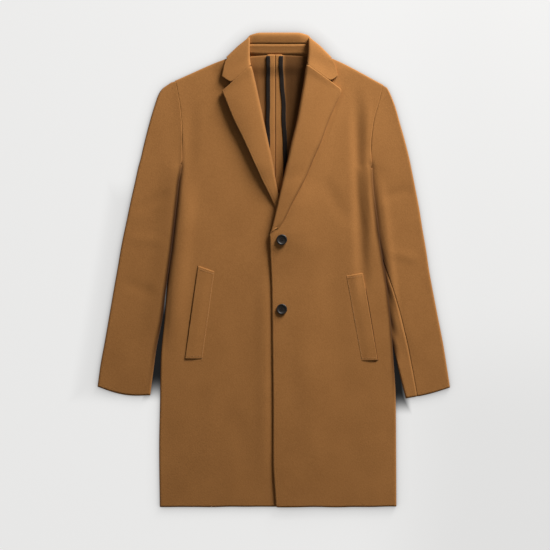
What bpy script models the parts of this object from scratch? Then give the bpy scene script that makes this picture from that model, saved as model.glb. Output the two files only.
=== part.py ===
"""A single-breasted wool overcoat with notch lapels, buttoned and laid flat on its back.

Z is up and the coat lies on z = 0, with the collar toward +Y. The wearer's left is +X.
The tables below are in millimetres, measured from the middle of the laid-out coat.
Each piece of cloth is an open surface, lofted through the rows of its table and
thickened by a Solidify modifier. Heights are those of the middle of the cloth.
"""

import math
from collections import namedtuple

import bmesh
import bpy
from mathutils import Vector

MM = 0.001
CLOTH = 2.0
SEAM = 0.3
LAYER = CLOTH + SEAM
HALF = CLOTH / 2
FLOOR = HALF

CENTRE_BACK = 3.1
SIDE_WRAP = 25.0
SHOULDER_WRAP = 10.0
FACING_COLUMNS = 4
FOLD_STEPS = 4
LAPEL_STEPS = 5
TWIST_GAP = {"left": 1.0, "right": 0.6}

# The collar's fall lies under the back of the neck and lifts the body there.
FALL_LIFT = 4.9
FALL_LEFT = -106.0
FALL_RIGHT = 128.0
FALL_BOTTOM = 438.0
FALL_EASE = 26.0

# A front's rows run from the hem to the shoulder. The edge is the front edge, then the
# roll line, then the neck seam. The side is the side fold, then the armhole seam.
FrontRow = namedtuple(
    "FrontRow",
    "edge_x edge_y side_x side_y edge_z shelf rest_z side_z side_low roll turn "
    "lapel_x lapel_y lapel_lift crown",
)
ARMPIT = 15
BREAK = 7
GORGE = 21

LEFT_FRONT = [
    FrontRow(5, -505, 261, -504, 10.2, 56, 6.0, 6.6, 1.0, 0, 0, 5, -505, 0, 0),
    FrontRow(-1, -400, 261, -400, 10.2, 56, 5.6, 6.6, 1.0, 0, 0, -1, -400, 0, 0),
    FrontRow(-1, -277, 260, -277, 10.2, 56, 5.6, 6.6, 1.0, 0, 0, -1, -277, 0, 0),
    FrontRow(-2, -193, 256, -193, 10.2, 56, 5.6, 10.8, 6.0, 0, 0, -2, -193, 0, 0),
    FrontRow(-3, -106, 250, -106, 10.2, 56, 5.8, 11.5, 6.7, 0, 0, -3, -106, 0, 0),
    FrontRow(-4, -36, 242, -36, 10.2, 56, 6.0, 11.7, 6.7, 0, 0, -4, -36, 0, 0),
    FrontRow(-7, 30, 232, 30, 11.2, 56, 6.2, 11.7, 6.7, 0, 0, -7, 30, 0, 0),
    FrontRow(-8, 72, 226, 72, 15.2, 56, 6.3, 11.7, 6.7, 1.3, 0, -8, 72, 0, 0),
    FrontRow(-8, 78, 226, 78, 15.6, 58, 6.3, 11.7, 6.7, 1.3, 70, -6.5, 78, 0, 0),
    FrontRow(-7.5, 84, 225, 84, 16.0, 58, 6.3, 11.7, 6.7, 1.3, 140, -4, 84, 0, 0),
    FrontRow(-5, 93, 224, 93, 16.2, 48, 6.3, 11.7, 6.7, 1.4, 180, 7, 88, 0.6, 0),
    FrontRow(-1, 109, 222, 109, 16.4, 32, 6.3, 11.7, 6.7, 1.6, 180, 20, 105, 0.6, 0),
    FrontRow(6, 138, 218, 138, 16.6, 22, 6.4, 11.7, 6.7, 1.8, 180, 40, 142, 0.6, 0),
    FrontRow(13, 168, 214, 168, 15.2, 8, 6.4, 11.2, 6.2, 2.2, 180, 59, 178, 0.6, 0),
    FrontRow(20, 197, 212, 196, 12.8, 0, 6.4, 9.4, 4.0, 2.4, 180, 71, 202, 0.6, 0),
    FrontRow(25, 217, 211, 217, 11.4, 0, 6.4, 7.2, 2.0, 2.6, 180, 78, 220, 0.7, 0),
    FrontRow(28, 228, 210, 226, 10.8, 0, 6.4, 6.6, 1.0, 2.6, 180, 83, 232, 0.8, 0),
    FrontRow(37, 269, 208, 262, 10.2, 0, 6.4, 6.4, 1.0, 2.8, 180, 101, 273, 1.2, 0),
    FrontRow(49, 318, 212, 306, 10.0, 0, 6.4, 6.3, 1.0, 3.0, 180, 118, 320, 1.4, 0),
    FrontRow(57, 362, 219, 338, 9.8, 0, 6.3, 6.3, 1.0, 3.0, 180, 134, 356, 1.6, 0),
    FrontRow(64, 400, 225, 358, 9.4, 0, 6.3, 6.3, 1.0, 3.0, 180, 142, 376, 1.6, 0),
    FrontRow(70, 435, 229, 373, 9.0, 0, 6.2, 6.3, 1.0, 3.0, 180, 144, 388, 1.8, 1),
    FrontRow(88, 446, 231, 382, 7.0, 0, 6.2, 6.2, 1.0, 3.0, 0, 88, 446, 0, 2),
    FrontRow(101.5, 453, 232.4, 388.8, 6.2, 0, 6.2, 6.2, 1.0, 3.0, 0, 101.5, 453, 0, 3.5),
]

RIGHT_FRONT = [
    FrontRow(50, -503, -241, -504, 5.6, 8, 5.6, 6.0, 1.0, 0, 0, 50, -503, 0, 0),
    FrontRow(50, -383, -244, -383, 5.6, 8, 5.6, 6.0, 1.0, 0, 0, 50, -383, 0, 0),
    FrontRow(50, -277, -242, -277, 5.6, 8, 5.6, 6.0, 1.0, 0, 0, 50, -277, 0, 0),
    FrontRow(50, -192, -241, -192, 5.6, 8, 5.6, 5.8, 1.0, 0, 0, 50, -192, 0, 0),
    FrontRow(50, -106, -233, -106, 5.6, 8, 5.6, 5.2, 1.0, 0, 0, 50, -106, 0, 0),
    FrontRow(50, -36, -228, -36, 5.6, 8, 5.6, 5.0, 1.0, 0, 0, 50, -36, 0, 0),
    FrontRow(50, 30, -222, 30, 5.6, 8, 5.8, 5.0, 1.0, 0, 0, 50, 30, 0, 0),
    FrontRow(50, 70, -218, 70, 5.6, 8, 6.0, 5.0, 1.0, 1.2, 0, 50, 70, 0, 0),
    FrontRow(49, 76, -217, 76, 5.6, 8, 6.0, 5.0, 1.0, 1.2, 70, 48, 76, 0, 0),
    FrontRow(46, 82, -217, 82, 5.6, 8, 6.0, 5.0, 1.0, 1.2, 130, 44, 82, 0, 0),
    FrontRow(42, 90, -216, 90, 5.6, 8, 6.0, 5.0, 1.0, 1.2, 180, 34, 91, 0.2, 0),
    FrontRow(34, 104, -214, 104, 5.6, 8, 6.2, 5.0, 1.0, 1.2, 180, 20, 107, 0.2, 0),
    FrontRow(22, 132, -211, 132, 5.9, 8, 6.4, 5.0, 1.0, 1.3, 180, 3, 136, 0.6, 0),
    FrontRow(13, 158, -208.6, 158, 7.2, 14, 6.4, 5.0, 1.0, 1.6, 180, -8, 160, 2.4, 0),
    FrontRow(5, 194, -204, 194, 8.6, 16, 6.4, 5.0, 1.0, 2.0, 180, -26, 195, 4.6, 0),
    FrontRow(1, 217, -199, 215, 9.5, 22, 6.4, 5.2, 1.0, 2.2, 180, -36, 218, 5.8, 0),
    FrontRow(-1, 228, -198, 225, 9.5, 20, 6.4, 6.2, 1.0, 2.3, 180, -41, 228, 6.4, 0),
    FrontRow(-10, 269, -195, 262, 9.5, 12, 6.4, 6.4, 1.0, 2.6, 180, -60, 270, 8.2, 0),
    FrontRow(-22, 326, -196, 308, 9.4, 8, 6.4, 6.3, 1.0, 2.8, 180, -88, 327, 10.2, 0),
    FrontRow(-33, 377, -199, 345, 9.2, 8, 6.3, 6.3, 1.0, 3.0, 180, -103, 364, 9.4, 0),
    FrontRow(-40, 408, -203, 370, 9.0, 8, 6.3, 6.3, 1.0, 3.0, 180, -108, 378, 7.2, 0),
    FrontRow(-47, 433, -206, 385, 9.0, 8, 6.2, 6.3, 1.0, 3.0, 180, -109, 383, 5.6, 1),
    FrontRow(-65, 446, -207.5, 392, 7.0, 8, 6.2, 6.2, 1.0, 3.0, 0, -65, 446, 0, 2),
    FrontRow(-78.5, 453, -208.5, 398.8, 6.2, 8, 6.2, 6.2, 1.0, 3.0, 0, -78.5, 453, 0, 2.5),
]

SHELF_EASE = {"left": 56.0, "right": 52.0}
SIDE_EASE = 48.0

# Soft folds in the fronts: a ridge or a valley along a line, fading at both ends.
Fold = namedtuple("Fold", "x0 y0 x1 y1 half_width height")
FRONT_FOLDS = {
    "left": [
        Fold(178, 395, 193, -40, 17, -2.6),
        Fold(202, 350, 214, 120, 12, 0.8),
    ],
    "right": [
        Fold(-170, 380, -190, 60, 22, -1.2),
        Fold(-120, 120, -60, -300, 40, -0.8),
    ],
}

# The back's rows reach from the centre seam through a middle point to its side.
BackRow = namedtuple("BackRow", "centre_y middle_x middle_y front_row")
LEFT_BACK = [
    BackRow(-504, 100, -504, 0),
    BackRow(-400, 100, -400, 1),
    BackRow(-277, 100, -277, 2),
    BackRow(-193, 100, -193, 3),
    BackRow(-106, 100, -106, 4),
    BackRow(-36, 100, -36, 5),
    BackRow(30, 100, 30, 6),
    BackRow(72, 100, 72, 7),
    BackRow(109, 100, 109, 11),
    BackRow(138, 100, 138, 12),
    BackRow(168, 100, 168, 13),
    BackRow(217, 100, 217, 15),
    BackRow(232, 100, 230, 16),
    BackRow(280, 100, 275, 17),
    BackRow(330, 100, 320, 18),
    BackRow(370, 96, 362, 19),
    BackRow(405, 90, 397, 20),
    BackRow(430, 84, 423, 21),
    BackRow(446, 78, 440, 22),
    BackRow(459.5, 72, 455.5, 23),
]
MIDDLE_OF_NECK = 11.5
RIGHT_BACK = [
    row._replace(middle_x=2 * MIDDLE_OF_NECK - row.middle_x) for row in LEFT_BACK
]

# Seam allowances of the centre back, pressed open, and the dark tape on their edges.
AllowanceRow = namedtuple("AllowanceRow", "y left_edge right_edge")
ALLOWANCES = [
    AllowanceRow(160, 29, -15),
    AllowanceRow(217, 28, -15),
    AllowanceRow(280, 27, -15),
    AllowanceRow(320, 25.5, -15),
    AllowanceRow(370, 23, -15),
    AllowanceRow(405, 20.5, -14.6),
    AllowanceRow(430, 19, -14.6),
]
ALLOWANCE_START = {"left": 165, "right": 210}
TAPE_START = {"left": 195, "right": 228}
TAPE_WIDTH = 8.3
TAPE_CLOTH = 1.0

# A sleeve's rows run from the shoulder to the cuff. The first rows follow the armhole.
SleeveRow = namedtuple(
    "SleeveRow", "in_x in_y out_x out_y in_z in_low out_z tuck seam_at"
)
LEFT_SLEEVE = [
    SleeveRow(232.4, 388.8, 240, 384, 6.2, 1.0, 6.0, 9, 0),
    SleeveRow(231, 382, 247, 376, 6.2, 1.0, 6.4, 15, 0),
    SleeveRow(229, 373, 254, 360, 6.3, 1.0, 6.8, 27, 0),
    SleeveRow(225, 358, 261, 341, 6.3, 1.0, 6.8, 38, 0),
    SleeveRow(219, 338, 268, 318, 6.3, 1.0, 6.8, 34, 0),
    SleeveRow(212, 306, 278, 283, 6.3, 1.0, 6.8, 26, 0),
    SleeveRow(208, 262, 289, 238, 6.4, 1.0, 6.8, 20, 0),
    SleeveRow(210, 226, 296, 204, 6.6, 1.0, 6.8, 18, 0),
    SleeveRow(211, 217, 298, 194, 6.4, 1.0, 6.8, 18, 6),
    SleeveRow(214, 190, 303, 168, 5.2, 1.0, 6.8, 18, 8),
    SleeveRow(210, 150, 310, 132, 4.2, 1.0, 6.8, 18, 10),
    SleeveRow(210, 95, 317, 88, 4.2, 1.0, 6.8, 18, 14),
    SleeveRow(214, 36, 325, 42, 4.2, 1.0, 6.8, 18, 20),
    SleeveRow(219, -8, 332, -2, 4.2, 1.0, 6.8, 18, 28),
    SleeveRow(226, -50, 340, -43, 4.2, 1.0, 6.8, 18, 34),
    SleeveRow(237, -108, 351, -100, 4.2, 1.0, 6.8, 18, 41),
    SleeveRow(256, -168, 362, -156, 4.2, 1.0, 6.8, 18, 38),
    SleeveRow(267, -214, 369, -198, 6.2, 1.0, 6.6, 18, 33),
    SleeveRow(282, -271, 376, -249, 6.2, 1.0, 6.2, 18, 27),
]
RIGHT_SLEEVE = [
    SleeveRow(-208.5, 398.8, -217, 396, 6.2, 1.0, 6.0, 8, 0),
    SleeveRow(-207.5, 392, -224, 392, 6.2, 1.0, 6.4, 15, 0),
    SleeveRow(-206, 385, -234, 387, 6.3, 1.0, 6.8, 27, 0),
    SleeveRow(-203, 370, -243, 376, 6.3, 1.0, 6.8, 38, 0),
    SleeveRow(-199, 345, -252, 352, 6.3, 1.0, 6.8, 34, 0),
    SleeveRow(-196, 308, -263, 318, 6.3, 1.0, 6.8, 26, 0),
    SleeveRow(-195, 262, -276, 268, 6.4, 1.0, 6.8, 20, 0),
    SleeveRow(-198, 225, -284, 232, 6.6, 1.2, 6.8, 18, 0),
    SleeveRow(-200.5, 215, -287, 222, 7.4, 2.4, 6.8, 18, 0),
    SleeveRow(-205.5, 192, -294, 190, 10.6, 6.6, 6.8, 18, 0),
    SleeveRow(-206, 150, -303, 150, 11.6, 7.6, 6.8, 18, 0),
    SleeveRow(-211, 95, -313, 100, 11.6, 7.6, 6.8, 18, 0),
    SleeveRow(-217, 43, -323, 52, 11.6, 7.6, 6.8, 18, 0),
    SleeveRow(-223, 0, -333, 8, 11.6, 7.6, 6.8, 18, 0),
    SleeveRow(-229, -43, -343, -37, 11.6, 7.6, 6.8, 18, 0),
    SleeveRow(-237, -106, -355, -98, 10.4, 5.8, 6.8, 18, 0),
    SleeveRow(-250, -170, -364, -158, 7.0, 1.4, 6.8, 18, 0),
    SleeveRow(-256, -212, -370, -200, 6.4, 1.0, 6.6, 18, 0),
    SleeveRow(-263, -265, -376, -246, 6.2, 1.0, 6.2, 18, 0),
]
SLEEVE_ARMPIT = 8
UNDER_SLEEVE_START = 3
CUFF_BOW = {"left": 2.0, "right": 8.0}
SLEEVE_EASE = 52.0
SLEEVE_LOW_EASE = 34.0
SLEEVE_SAG = 0.7

# The collar's rows run from one leaf, behind the neck, to the other leaf. A row goes
# from the roll to the outer edge. The leaves lie on the fronts with their outer side
# up, and the back of the fall lies on the floor with its outer side down.
CollarRow = namedtuple(
    "CollarRow",
    "roll_x roll_y outer_x outer_y roll_z outer_z roll inner_width seam_z",
)
RIGHT_LEAF = [
    CollarRow(-55, 450, -105.5, 434, 17.4, 15.0, 4.4, 5, 8.6),
    CollarRow(-54.5, 470, -101, 446, 17.0, 14.8, 3.2, 24, 9.6),
    CollarRow(-50, 488.5, -94, 448.8, 15.4, 14.6, 2.5, 38, 9.6),
]
BACK_FALL = [
    CollarRow(-50, 488.5, -94, 448.8, 1.0, 1.0, 2.5, 38, 6.4),
    CollarRow(-41, 497, -68, 448, 1.0, 1.0, 2.5, 40, 6.4),
    CollarRow(-24, 501, -36, 450, 1.0, 1.0, 2.5, 40.6, 6.4),
    CollarRow(11.5, 501, 11.5, 452, 1.0, 1.0, 2.5, 40.6, 6.4),
    CollarRow(47, 501, 59, 450, 1.0, 1.0, 2.5, 40.6, 6.4),
    CollarRow(64, 497, 91, 448, 1.0, 1.0, 2.5, 40, 6.4),
    CollarRow(73, 488.5, 117, 448, 1.0, 1.0, 2.5, 38, 6.4),
]
LEFT_LEAF = [
    CollarRow(73, 488.5, 117, 448, 15.4, 14.6, 2.5, 38, 9.6),
    CollarRow(76.5, 470, 124, 446, 16.6, 14.2, 3.2, 24, 9.6),
    CollarRow(77, 450, 131, 434, 17.0, 13.4, 4.4, 5, 8.6),
]
COLLAR_TIPS = {"left": (135, 417, 13.0), "right": (-109, 416, 15.6)}
NOTCHES = {"left": (121, 403), "right": (-90, 403)}
FALL_STEPS = 6
NOTCH_STEP = 4
BAND_WIDTH = 18.5
GORGE_GAP = 1.0

# Pocket welts: the corners of each, seam side first, from the top down.
Welt = namedtuple("Welt", "seam_top seam_bottom mouth_top mouth_bottom")
WELTS = {
    "left": Welt((155, -12), (188, -194), (190, -6), (222, -193)),
    "right": Welt((-126, -3), (-152, -190), (-161, 9), (-189, -190)),
}
WELT_CLOTH = 2.6

BUTTONS = {"upper": (17.6, 64.3), "lower": (17.6, -83.5)}
BUTTON_RADIUS = 11.4
BUTTON_HEIGHT = 3.6
SHANK_RADIUS = 1.5
EYELET_RADIUS = 2.3

CAMEL = (0.33, 0.155, 0.046, 1.0)
CAMEL_DARK = (0.25, 0.115, 0.035, 1.0)
TAPE_BLACK = (0.02, 0.018, 0.016, 1.0)
HORN_BLACK = (0.022, 0.017, 0.015, 1.0)


def smooth(value):
    """Rises from 0 to 1 with a soft start and end."""
    value = min(1.0, max(0.0, value))
    return value * value * (3 - 2 * value)


def mix(first, second, share):
    return first + (second - first) * share


def material(name, colour, roughness):
    made = bpy.data.materials.new(name)
    made.use_nodes = True
    shader = made.node_tree.nodes["Principled BSDF"]
    shader.inputs["Base Color"].default_value = colour
    shader.inputs["Roughness"].default_value = roughness
    shader.inputs["Metallic"].default_value = 0.0
    return made


def add_patch(mesh, rows):
    """Adds a grid through rows of points, all of the same length."""
    wide = len(rows[0])
    made = bmesh.ops.create_grid(
        mesh, x_segments=wide - 1, y_segments=len(rows) - 1, size=1.0
    )
    points = [point for row in rows for point in row]
    for corner, point in zip(made["verts"], points):
        corner.co = point * MM


def cloth(name, patches, colour, thickness=CLOTH):
    """One piece of cloth: its patches are joined along the points that they share."""
    mesh = bmesh.new()
    for rows in patches:
        add_patch(mesh, rows)
    bmesh.ops.remove_doubles(mesh, verts=mesh.verts, dist=0.00001)
    bmesh.ops.recalc_face_normals(mesh, faces=mesh.faces)
    data = bpy.data.meshes.new(name)
    mesh.to_mesh(data)
    mesh.free()
    data.shade_smooth()
    piece = bpy.data.objects.new(name, data)
    data.materials.append(material(name + "_cloth", colour, 0.9))
    wall = piece.modifiers.new("Wall", "SOLIDIFY")
    wall.thickness = thickness * MM
    wall.offset = 0.0
    wall.use_even_offset = False
    COAT.objects.link(piece)
    return piece


def fall_lift(x, y):
    """How far the collar's fall raises the cloth that lies on it."""
    across = smooth((x - FALL_LEFT + FALL_EASE) / FALL_EASE)
    across *= smooth((FALL_RIGHT + FALL_EASE - x) / FALL_EASE)
    return FALL_LIFT * across * smooth((y - FALL_BOTTOM + FALL_EASE) / FALL_EASE)


def fold_height(x, y, folds):
    """The height that the soft folds add at a place."""
    height = 0.0
    for fold in folds:
        start = Vector((fold.x0, fold.y0))
        line = Vector((fold.x1, fold.y1)) - start
        place = Vector((x, y)) - start
        along = place.dot(line) / line.length_squared
        aside = abs(place.cross(line)) / line.length
        if 0 < along < 1:
            ends = smooth(along * 4) * smooth((1 - along) * 4)
            height += fold.height * ends * smooth(1 - aside / fold.half_width)
    return height


def row_edge_inset(row):
    """How far the cloth's turn lies behind the outline that the rolled layers show."""
    return (row.roll + LAYER + HALF) * row.turn / 180


class FrontShape:
    """The sections of one front, as its middle surface."""

    def __init__(self, side, rows):
        self.side = side
        self.rows = rows
        self.folds = FRONT_FOLDS[side]

    def span(self, row):
        """The row's start, its direction toward the side and its length."""
        edge = Vector((row.edge_x, row.edge_y))
        side = Vector((row.side_x, row.side_y))
        return edge, (side - edge).normalized(), (side - edge).length

    def reach(self, row, point):
        """How far toward the side a point lies from the edge."""
        edge, way, _ = self.span(row)
        return max(0.0, (point.to_2d() - edge).dot(way))

    def place(self, row, reach):
        """The plan point at a distance from the edge."""
        edge, way, width = self.span(row)
        point = edge + way * reach
        share = min(1.0, max(0.0, reach / width))
        point.y += row.crown * math.sin(math.pi * math.sqrt(share))
        return point

    def top(self, row, reach):
        """The upper layer of the body at a distance from the edge."""
        width = self.span(row)[2]
        point = self.place(row, reach)
        near = 1 - smooth((reach - row.shelf) / SHELF_EASE[self.side])
        far = smooth(1 - (width - reach) / SIDE_EASE)
        height = row.rest_z + (row.edge_z - row.rest_z) * near
        height = mix(height, row.side_z, far)
        height += fold_height(point.x, point.y, self.folds) * (1 - far * far)
        height += 0.55 * fall_lift(point.x, point.y)
        if row.side_low > FLOOR:
            resting = self.low(row, width - reach).z + LAYER + 2 * SEAM
            height = max(height, resting)
        return Vector((point.x, point.y, height))

    def low(self, row, inward):
        """The lower layer at a distance in from the side fold."""
        width = self.span(row)[2]
        point = self.place(row, width - inward)
        height = FLOOR + (row.side_low - FLOOR) * (1 - smooth((inward - 20) / 25))
        return Vector((point.x, point.y, height))

    def side_roll(self, row):
        return (row.side_z - row.side_low) / 2

    def columns(self, index):
        """Distances of the body's columns from the edge."""
        row = self.rows[index]
        width = self.span(row)[2]
        end = HALF + self.side_roll(row) if index <= ARMPIT else SEAM / 2
        start = row_edge_inset(row)
        near = [start, start + 18, start + 42, start + 70]
        far = [width - 58, width - 42, width - 28, width - 14, width - end]
        return near + [mix(near[-1], far[0], 0.5)] + far

    def body(self):
        return [
            [self.top(row, reach) for reach in self.columns(index)]
            for index, row in enumerate(self.rows)
        ]

    def side_fold(self):
        """From the body's last column round the side to the seam with the back."""
        patch = []
        for index in range(ARMPIT + 1):
            row = self.rows[index]
            radius = self.side_roll(row)
            way = self.span(row)[1]
            start = self.top(row, self.columns(index)[-1])
            centre = start - Vector((0, 0, radius))
            out = Vector((way.x, way.y, 0))
            points = [start]
            for step in range(1, FOLD_STEPS + 1):
                turn = math.pi * step / FOLD_STEPS
                up = Vector((0, 0, math.cos(turn)))
                points.append(centre + (out * math.sin(turn) + up) * radius)
            points += [self.low(row, inward) for inward in (13, SIDE_WRAP)]
            patch.append(points)
        return patch

    def shoulder_fold(self):
        """From the body's last row over the shoulder to the seam with the back."""
        row = self.rows[-1]
        tops = self.body()[-1]
        patch = []
        for column, start in enumerate(tops):
            before = tops[max(0, column - 1)]
            after = tops[min(len(tops) - 1, column + 1)]
            line = (after - before).to_2d().normalized()
            out = Vector((-line.y, line.x, 0))
            if out.y < 0:
                out.negate()
            lift = fall_lift(start.x, start.y)
            radius = (start.z - FLOOR - lift) / 2
            centre = start - Vector((0, 0, radius))
            points = [start]
            for step in range(1, FOLD_STEPS + 1):
                turn = math.pi * step / FOLD_STEPS
                up = Vector((0, 0, math.cos(turn)))
                points.append(centre + (out * math.sin(turn) + up) * radius)
            last = points[-1] - out * (SHOULDER_WRAP - radius)
            points.append(last)
            patch.append(points)
        return [list(line) for line in zip(*patch)]

    def turned(self, index):
        """The roll and the lapel of one row, as pairs of a point and its outer side."""
        row = self.rows[index]
        way = self.span(row)[1]
        out = Vector((-way.x, -way.y, 0))
        up = Vector((0, 0, 1))
        start = self.top(row, row_edge_inset(row))
        turn = math.radians(row.turn)
        pairs = [(start, -up)]
        for step in range(1, FOLD_STEPS + 1):
            angle = turn * step / FOLD_STEPS
            swing = out * math.sin(angle) - up * math.cos(angle)
            radius = row.roll if row.turn else 0.0
            pairs.append((start + (swing + up) * radius, swing))
        last, swing = pairs[-1]
        tip = Vector((row.lapel_x, row.lapel_y, 0))
        tip.z = self.top(row, self.reach(row, tip)).z + LAYER + row.lapel_lift
        if row.turn < 180:
            width = math.hypot(row.lapel_x - row.edge_x, row.lapel_y - row.edge_y)
            line = (out * math.cos(turn) + up * math.sin(turn)) * width
        else:
            line = tip - last
            flat = Vector((line.x, line.y, 0))
            swing = (up * flat.length - flat.normalized() * line.z).normalized()
        belly = 0.02 * line.length * (1 if row.turn == 180 else 0)
        for step in range(1, LAPEL_STEPS + 1):
            share = step / LAPEL_STEPS
            point = last + line * share + up * belly * math.sin(math.pi * share)
            if row.turn == 180:
                body = self.top(row, self.reach(row, point)).z
                point.z = max(point.z, body + LAYER + SEAM)
            pairs.append((point, swing))
        return pairs

    def lapel(self):
        """The turned-back layer of the front, from the break to the gorge."""
        return [
            [point for point, _ in self.turned(index)]
            for index in range(BREAK, GORGE + 1)
        ]

    def facing_patches(self):
        """The facing: inside the body, round the roll and over the lapel."""
        down = Vector((0, 0, -LAYER))
        inside = []
        for index, row in enumerate(self.rows[: GORGE + 1]):
            reaches = self.columns(index)[:FACING_COLUMNS]
            inside.append([self.top(row, reach) + down for reach in reaches])
        over = []
        for index in range(BREAK, GORGE + 1):
            gap = TWIST_GAP[self.side] if BREAK < index < BREAK + 5 else 0.0
            line = []
            for step, (point, normal) in enumerate(self.turned(index)):
                line.append(point + normal * (LAYER + gap * min(1.0, step / 2)))
            over.append(line)
        return [inside, over]


def back_piece(name, side, shape, table):
    """One half of the back, flat on the floor, with its allowance at the centre."""
    sign = 1 if side == "left" else -1
    seam_x = CENTRE_BACK + sign * SEAM / 2
    turn = HALF + LAYER / 2
    outs = []
    for place in table:
        front = shape.rows[place.front_row]
        inward = SIDE_WRAP + 2 * SEAM if place.front_row <= ARMPIT else SEAM / 2
        outs.append(shape.place(front, shape.span(front)[2] - inward))
    outs[-1] += Vector((-sign * 0.45, -0.9)) * (SHOULDER_WRAP + 2)
    outs[-2] = (outs[-3] + outs[-1]) / 2
    rows = []
    for place, out in zip(table, outs):
        front = shape.rows[place.front_row]
        turned = place.centre_y > ALLOWANCE_START[side]
        start = Vector((seam_x + sign * (turn if turned else 0), place.centre_y))
        middle = Vector((place.middle_x, place.middle_y))
        flat = [mix(start, middle, share) for share in (0, 0.12, 0.35, 0.62, 1)]
        flat += [mix(middle, out, share) for share in (0.3, 0.55, 0.72, 0.86, 1)]
        points = []
        for spot in flat:
            height = FLOOR + fall_lift(spot.x, spot.y)
            if place.front_row <= ARMPIT:
                inward = abs(front.side_x - spot.x)
                ease = 1 - smooth((inward - 20) / 25)
                height += (front.side_low - FLOOR) * ease
            points.append(Vector((spot.x, spot.y, height)))
        rows.append(points)
    allowance = []
    for place, points in zip(table, rows):
        if place.centre_y <= ALLOWANCE_START[side]:
            continue
        edge_x = allowance_edge(side, place.centre_y)
        radius = LAYER / 2
        start = points[0]
        centre = start + Vector((0, 0, radius))
        line = [start]
        for step in range(1, FOLD_STEPS + 1):
            angle = math.pi * step / FOLD_STEPS
            out = Vector((-sign * math.sin(angle), 0, -math.cos(angle)))
            line.append(centre + out * radius)
        for share in (0.5, 1.0):
            line.append(Vector((mix(start.x, edge_x, share), start.y, line[4].z)))
        allowance.append(line)
    return cloth(name, [rows, allowance], CAMEL_DARK)


def allowance_edge(side, y):
    """Where the allowance of the centre back ends, at a height along the back."""
    column = "left_edge" if side == "left" else "right_edge"
    places = ALLOWANCES
    if y >= places[-1].y:
        return getattr(places[-1], column)
    for low, high in zip(places, places[1:]):
        if y <= high.y:
            share = max(0.0, (y - low.y) / (high.y - low.y))
            return mix(getattr(low, column), getattr(high, column), share)
    return getattr(places[-1], column)


def seam_tape(name, side):
    """Dark tape on the edge of an allowance, turned down over its cut edge."""
    sign = 1 if side == "left" else -1
    above = FLOOR + LAYER + HALF + SEAM + TAPE_CLOTH / 2
    rows = []
    for y in (TAPE_START[side], 240, 280, 320, 370, 405, 430, 446, 458):
        edge = allowance_edge(side, y) + sign * (SEAM + TAPE_CLOTH / 2)
        height = above + fall_lift(edge, y)
        rows.append(
            [
                Vector((edge - sign * TAPE_WIDTH, y, height)),
                Vector((edge - sign * TAPE_WIDTH / 2, y, height)),
                Vector((edge, y, height)),
                Vector((edge, y, height - CLOTH)),
            ]
        )
    return cloth(name, [rows], TAPE_BLACK, TAPE_CLOTH)


class SleeveShape:
    """The sections of one sleeve, pressed flat."""

    def __init__(self, side, rows):
        self.side = side
        self.rows = rows

    def span(self, row):
        inner = Vector((row.in_x, row.in_y))
        outer = Vector((row.out_x, row.out_y))
        return inner, (outer - inner).normalized(), (outer - inner).length

    def bow(self, index, share):
        """The cuff's edge curves a little, less so in the rows above it."""
        from_cuff = len(self.rows) - 1 - index
        return -CUFF_BOW[self.side] * math.sin(math.pi * share) * 0.5**from_cuff

    def place(self, index, reach, height):
        inner, way, width = self.span(self.rows[index])
        point = inner + way * reach
        return Vector(
            (point.x, point.y + self.bow(index, reach / width), height)
        )

    def top(self, index, reach):
        row = self.rows[index]
        width = self.span(row)[2]
        share = smooth(reach / min(SLEEVE_EASE, width))
        height = mix(row.in_z, row.out_z, share)
        height -= SLEEVE_SAG * math.sin(math.pi * reach / width) * min(1, width / 60)
        return self.place(index, reach, height)

    def low(self, index, reach):
        row = self.rows[index]
        ease = 1 - smooth((reach - 6) / SLEEVE_LOW_EASE)
        return self.place(index, reach, FLOOR + (row.in_low - FLOOR) * ease)

    def outer_end(self, row):
        return HALF + (row.out_z - FLOOR) / 2

    def inner_end(self, row):
        return HALF + (row.in_z - row.in_low) / 2

    def half_turn(self, start, end, out):
        """Points of a half circle between two points that lie one above the other."""
        centre = (start + end) / 2
        radius = (start.z - end.z) / 2
        points = []
        for step in range(1, FOLD_STEPS):
            angle = math.pi * step / FOLD_STEPS
            up = Vector((0, 0, math.cos(angle)))
            points.append(centre + (out * math.sin(angle) + up) * radius)
        return points

    def tuck_end(self, index):
        """Where the top sleeve ends on the underside, from the inner side."""
        row = self.rows[index]
        width = self.span(row)[2]
        return max(SEAM, width - self.outer_end(row) - row.tuck)

    def outer_fold(self, index):
        """From the top layer round the outer edge to the seam underneath."""
        row = self.rows[index]
        width = self.span(row)[2]
        out = Vector((*self.span(row)[1], 0))
        reach = width - self.outer_end(row)
        start = self.top(index, reach)
        start.z = row.out_z
        end = self.place(index, reach, FLOOR)
        last = self.tuck_end(index)
        middle = mix(reach, last, 0.5)
        points = [start] + self.half_turn(start, end, out) + [end]
        return points + [self.low(index, middle), self.low(index, last)]

    def inner_fold(self, index, last):
        """From the top layer round the inner edge to a reach underneath."""
        row = self.rows[index]
        way = self.span(row)[1]
        out = Vector((-way.x, -way.y, 0))
        reach = self.inner_end(row)
        start = self.top(index, reach)
        start.z = row.in_z
        end = self.place(index, reach, row.in_low)
        points = [start] + self.half_turn(start, end, out) + [end]
        middle = mix(reach, last, 0.5)
        return points + [self.low(index, middle), self.low(index, last)]

    def top_layer(self, index, start):
        """The top layer from a reach to the outer fold."""
        row = self.rows[index]
        end = self.span(row)[2] - self.outer_end(row)
        points = [
            self.top(index, mix(start, end, share))
            for share in (0, 0.12, 0.25, 0.4, 0.6, 0.8, 1)
        ]
        if start == self.inner_end(row):
            points[0].z = row.in_z
        points[-1].z = row.out_z
        return points


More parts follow.
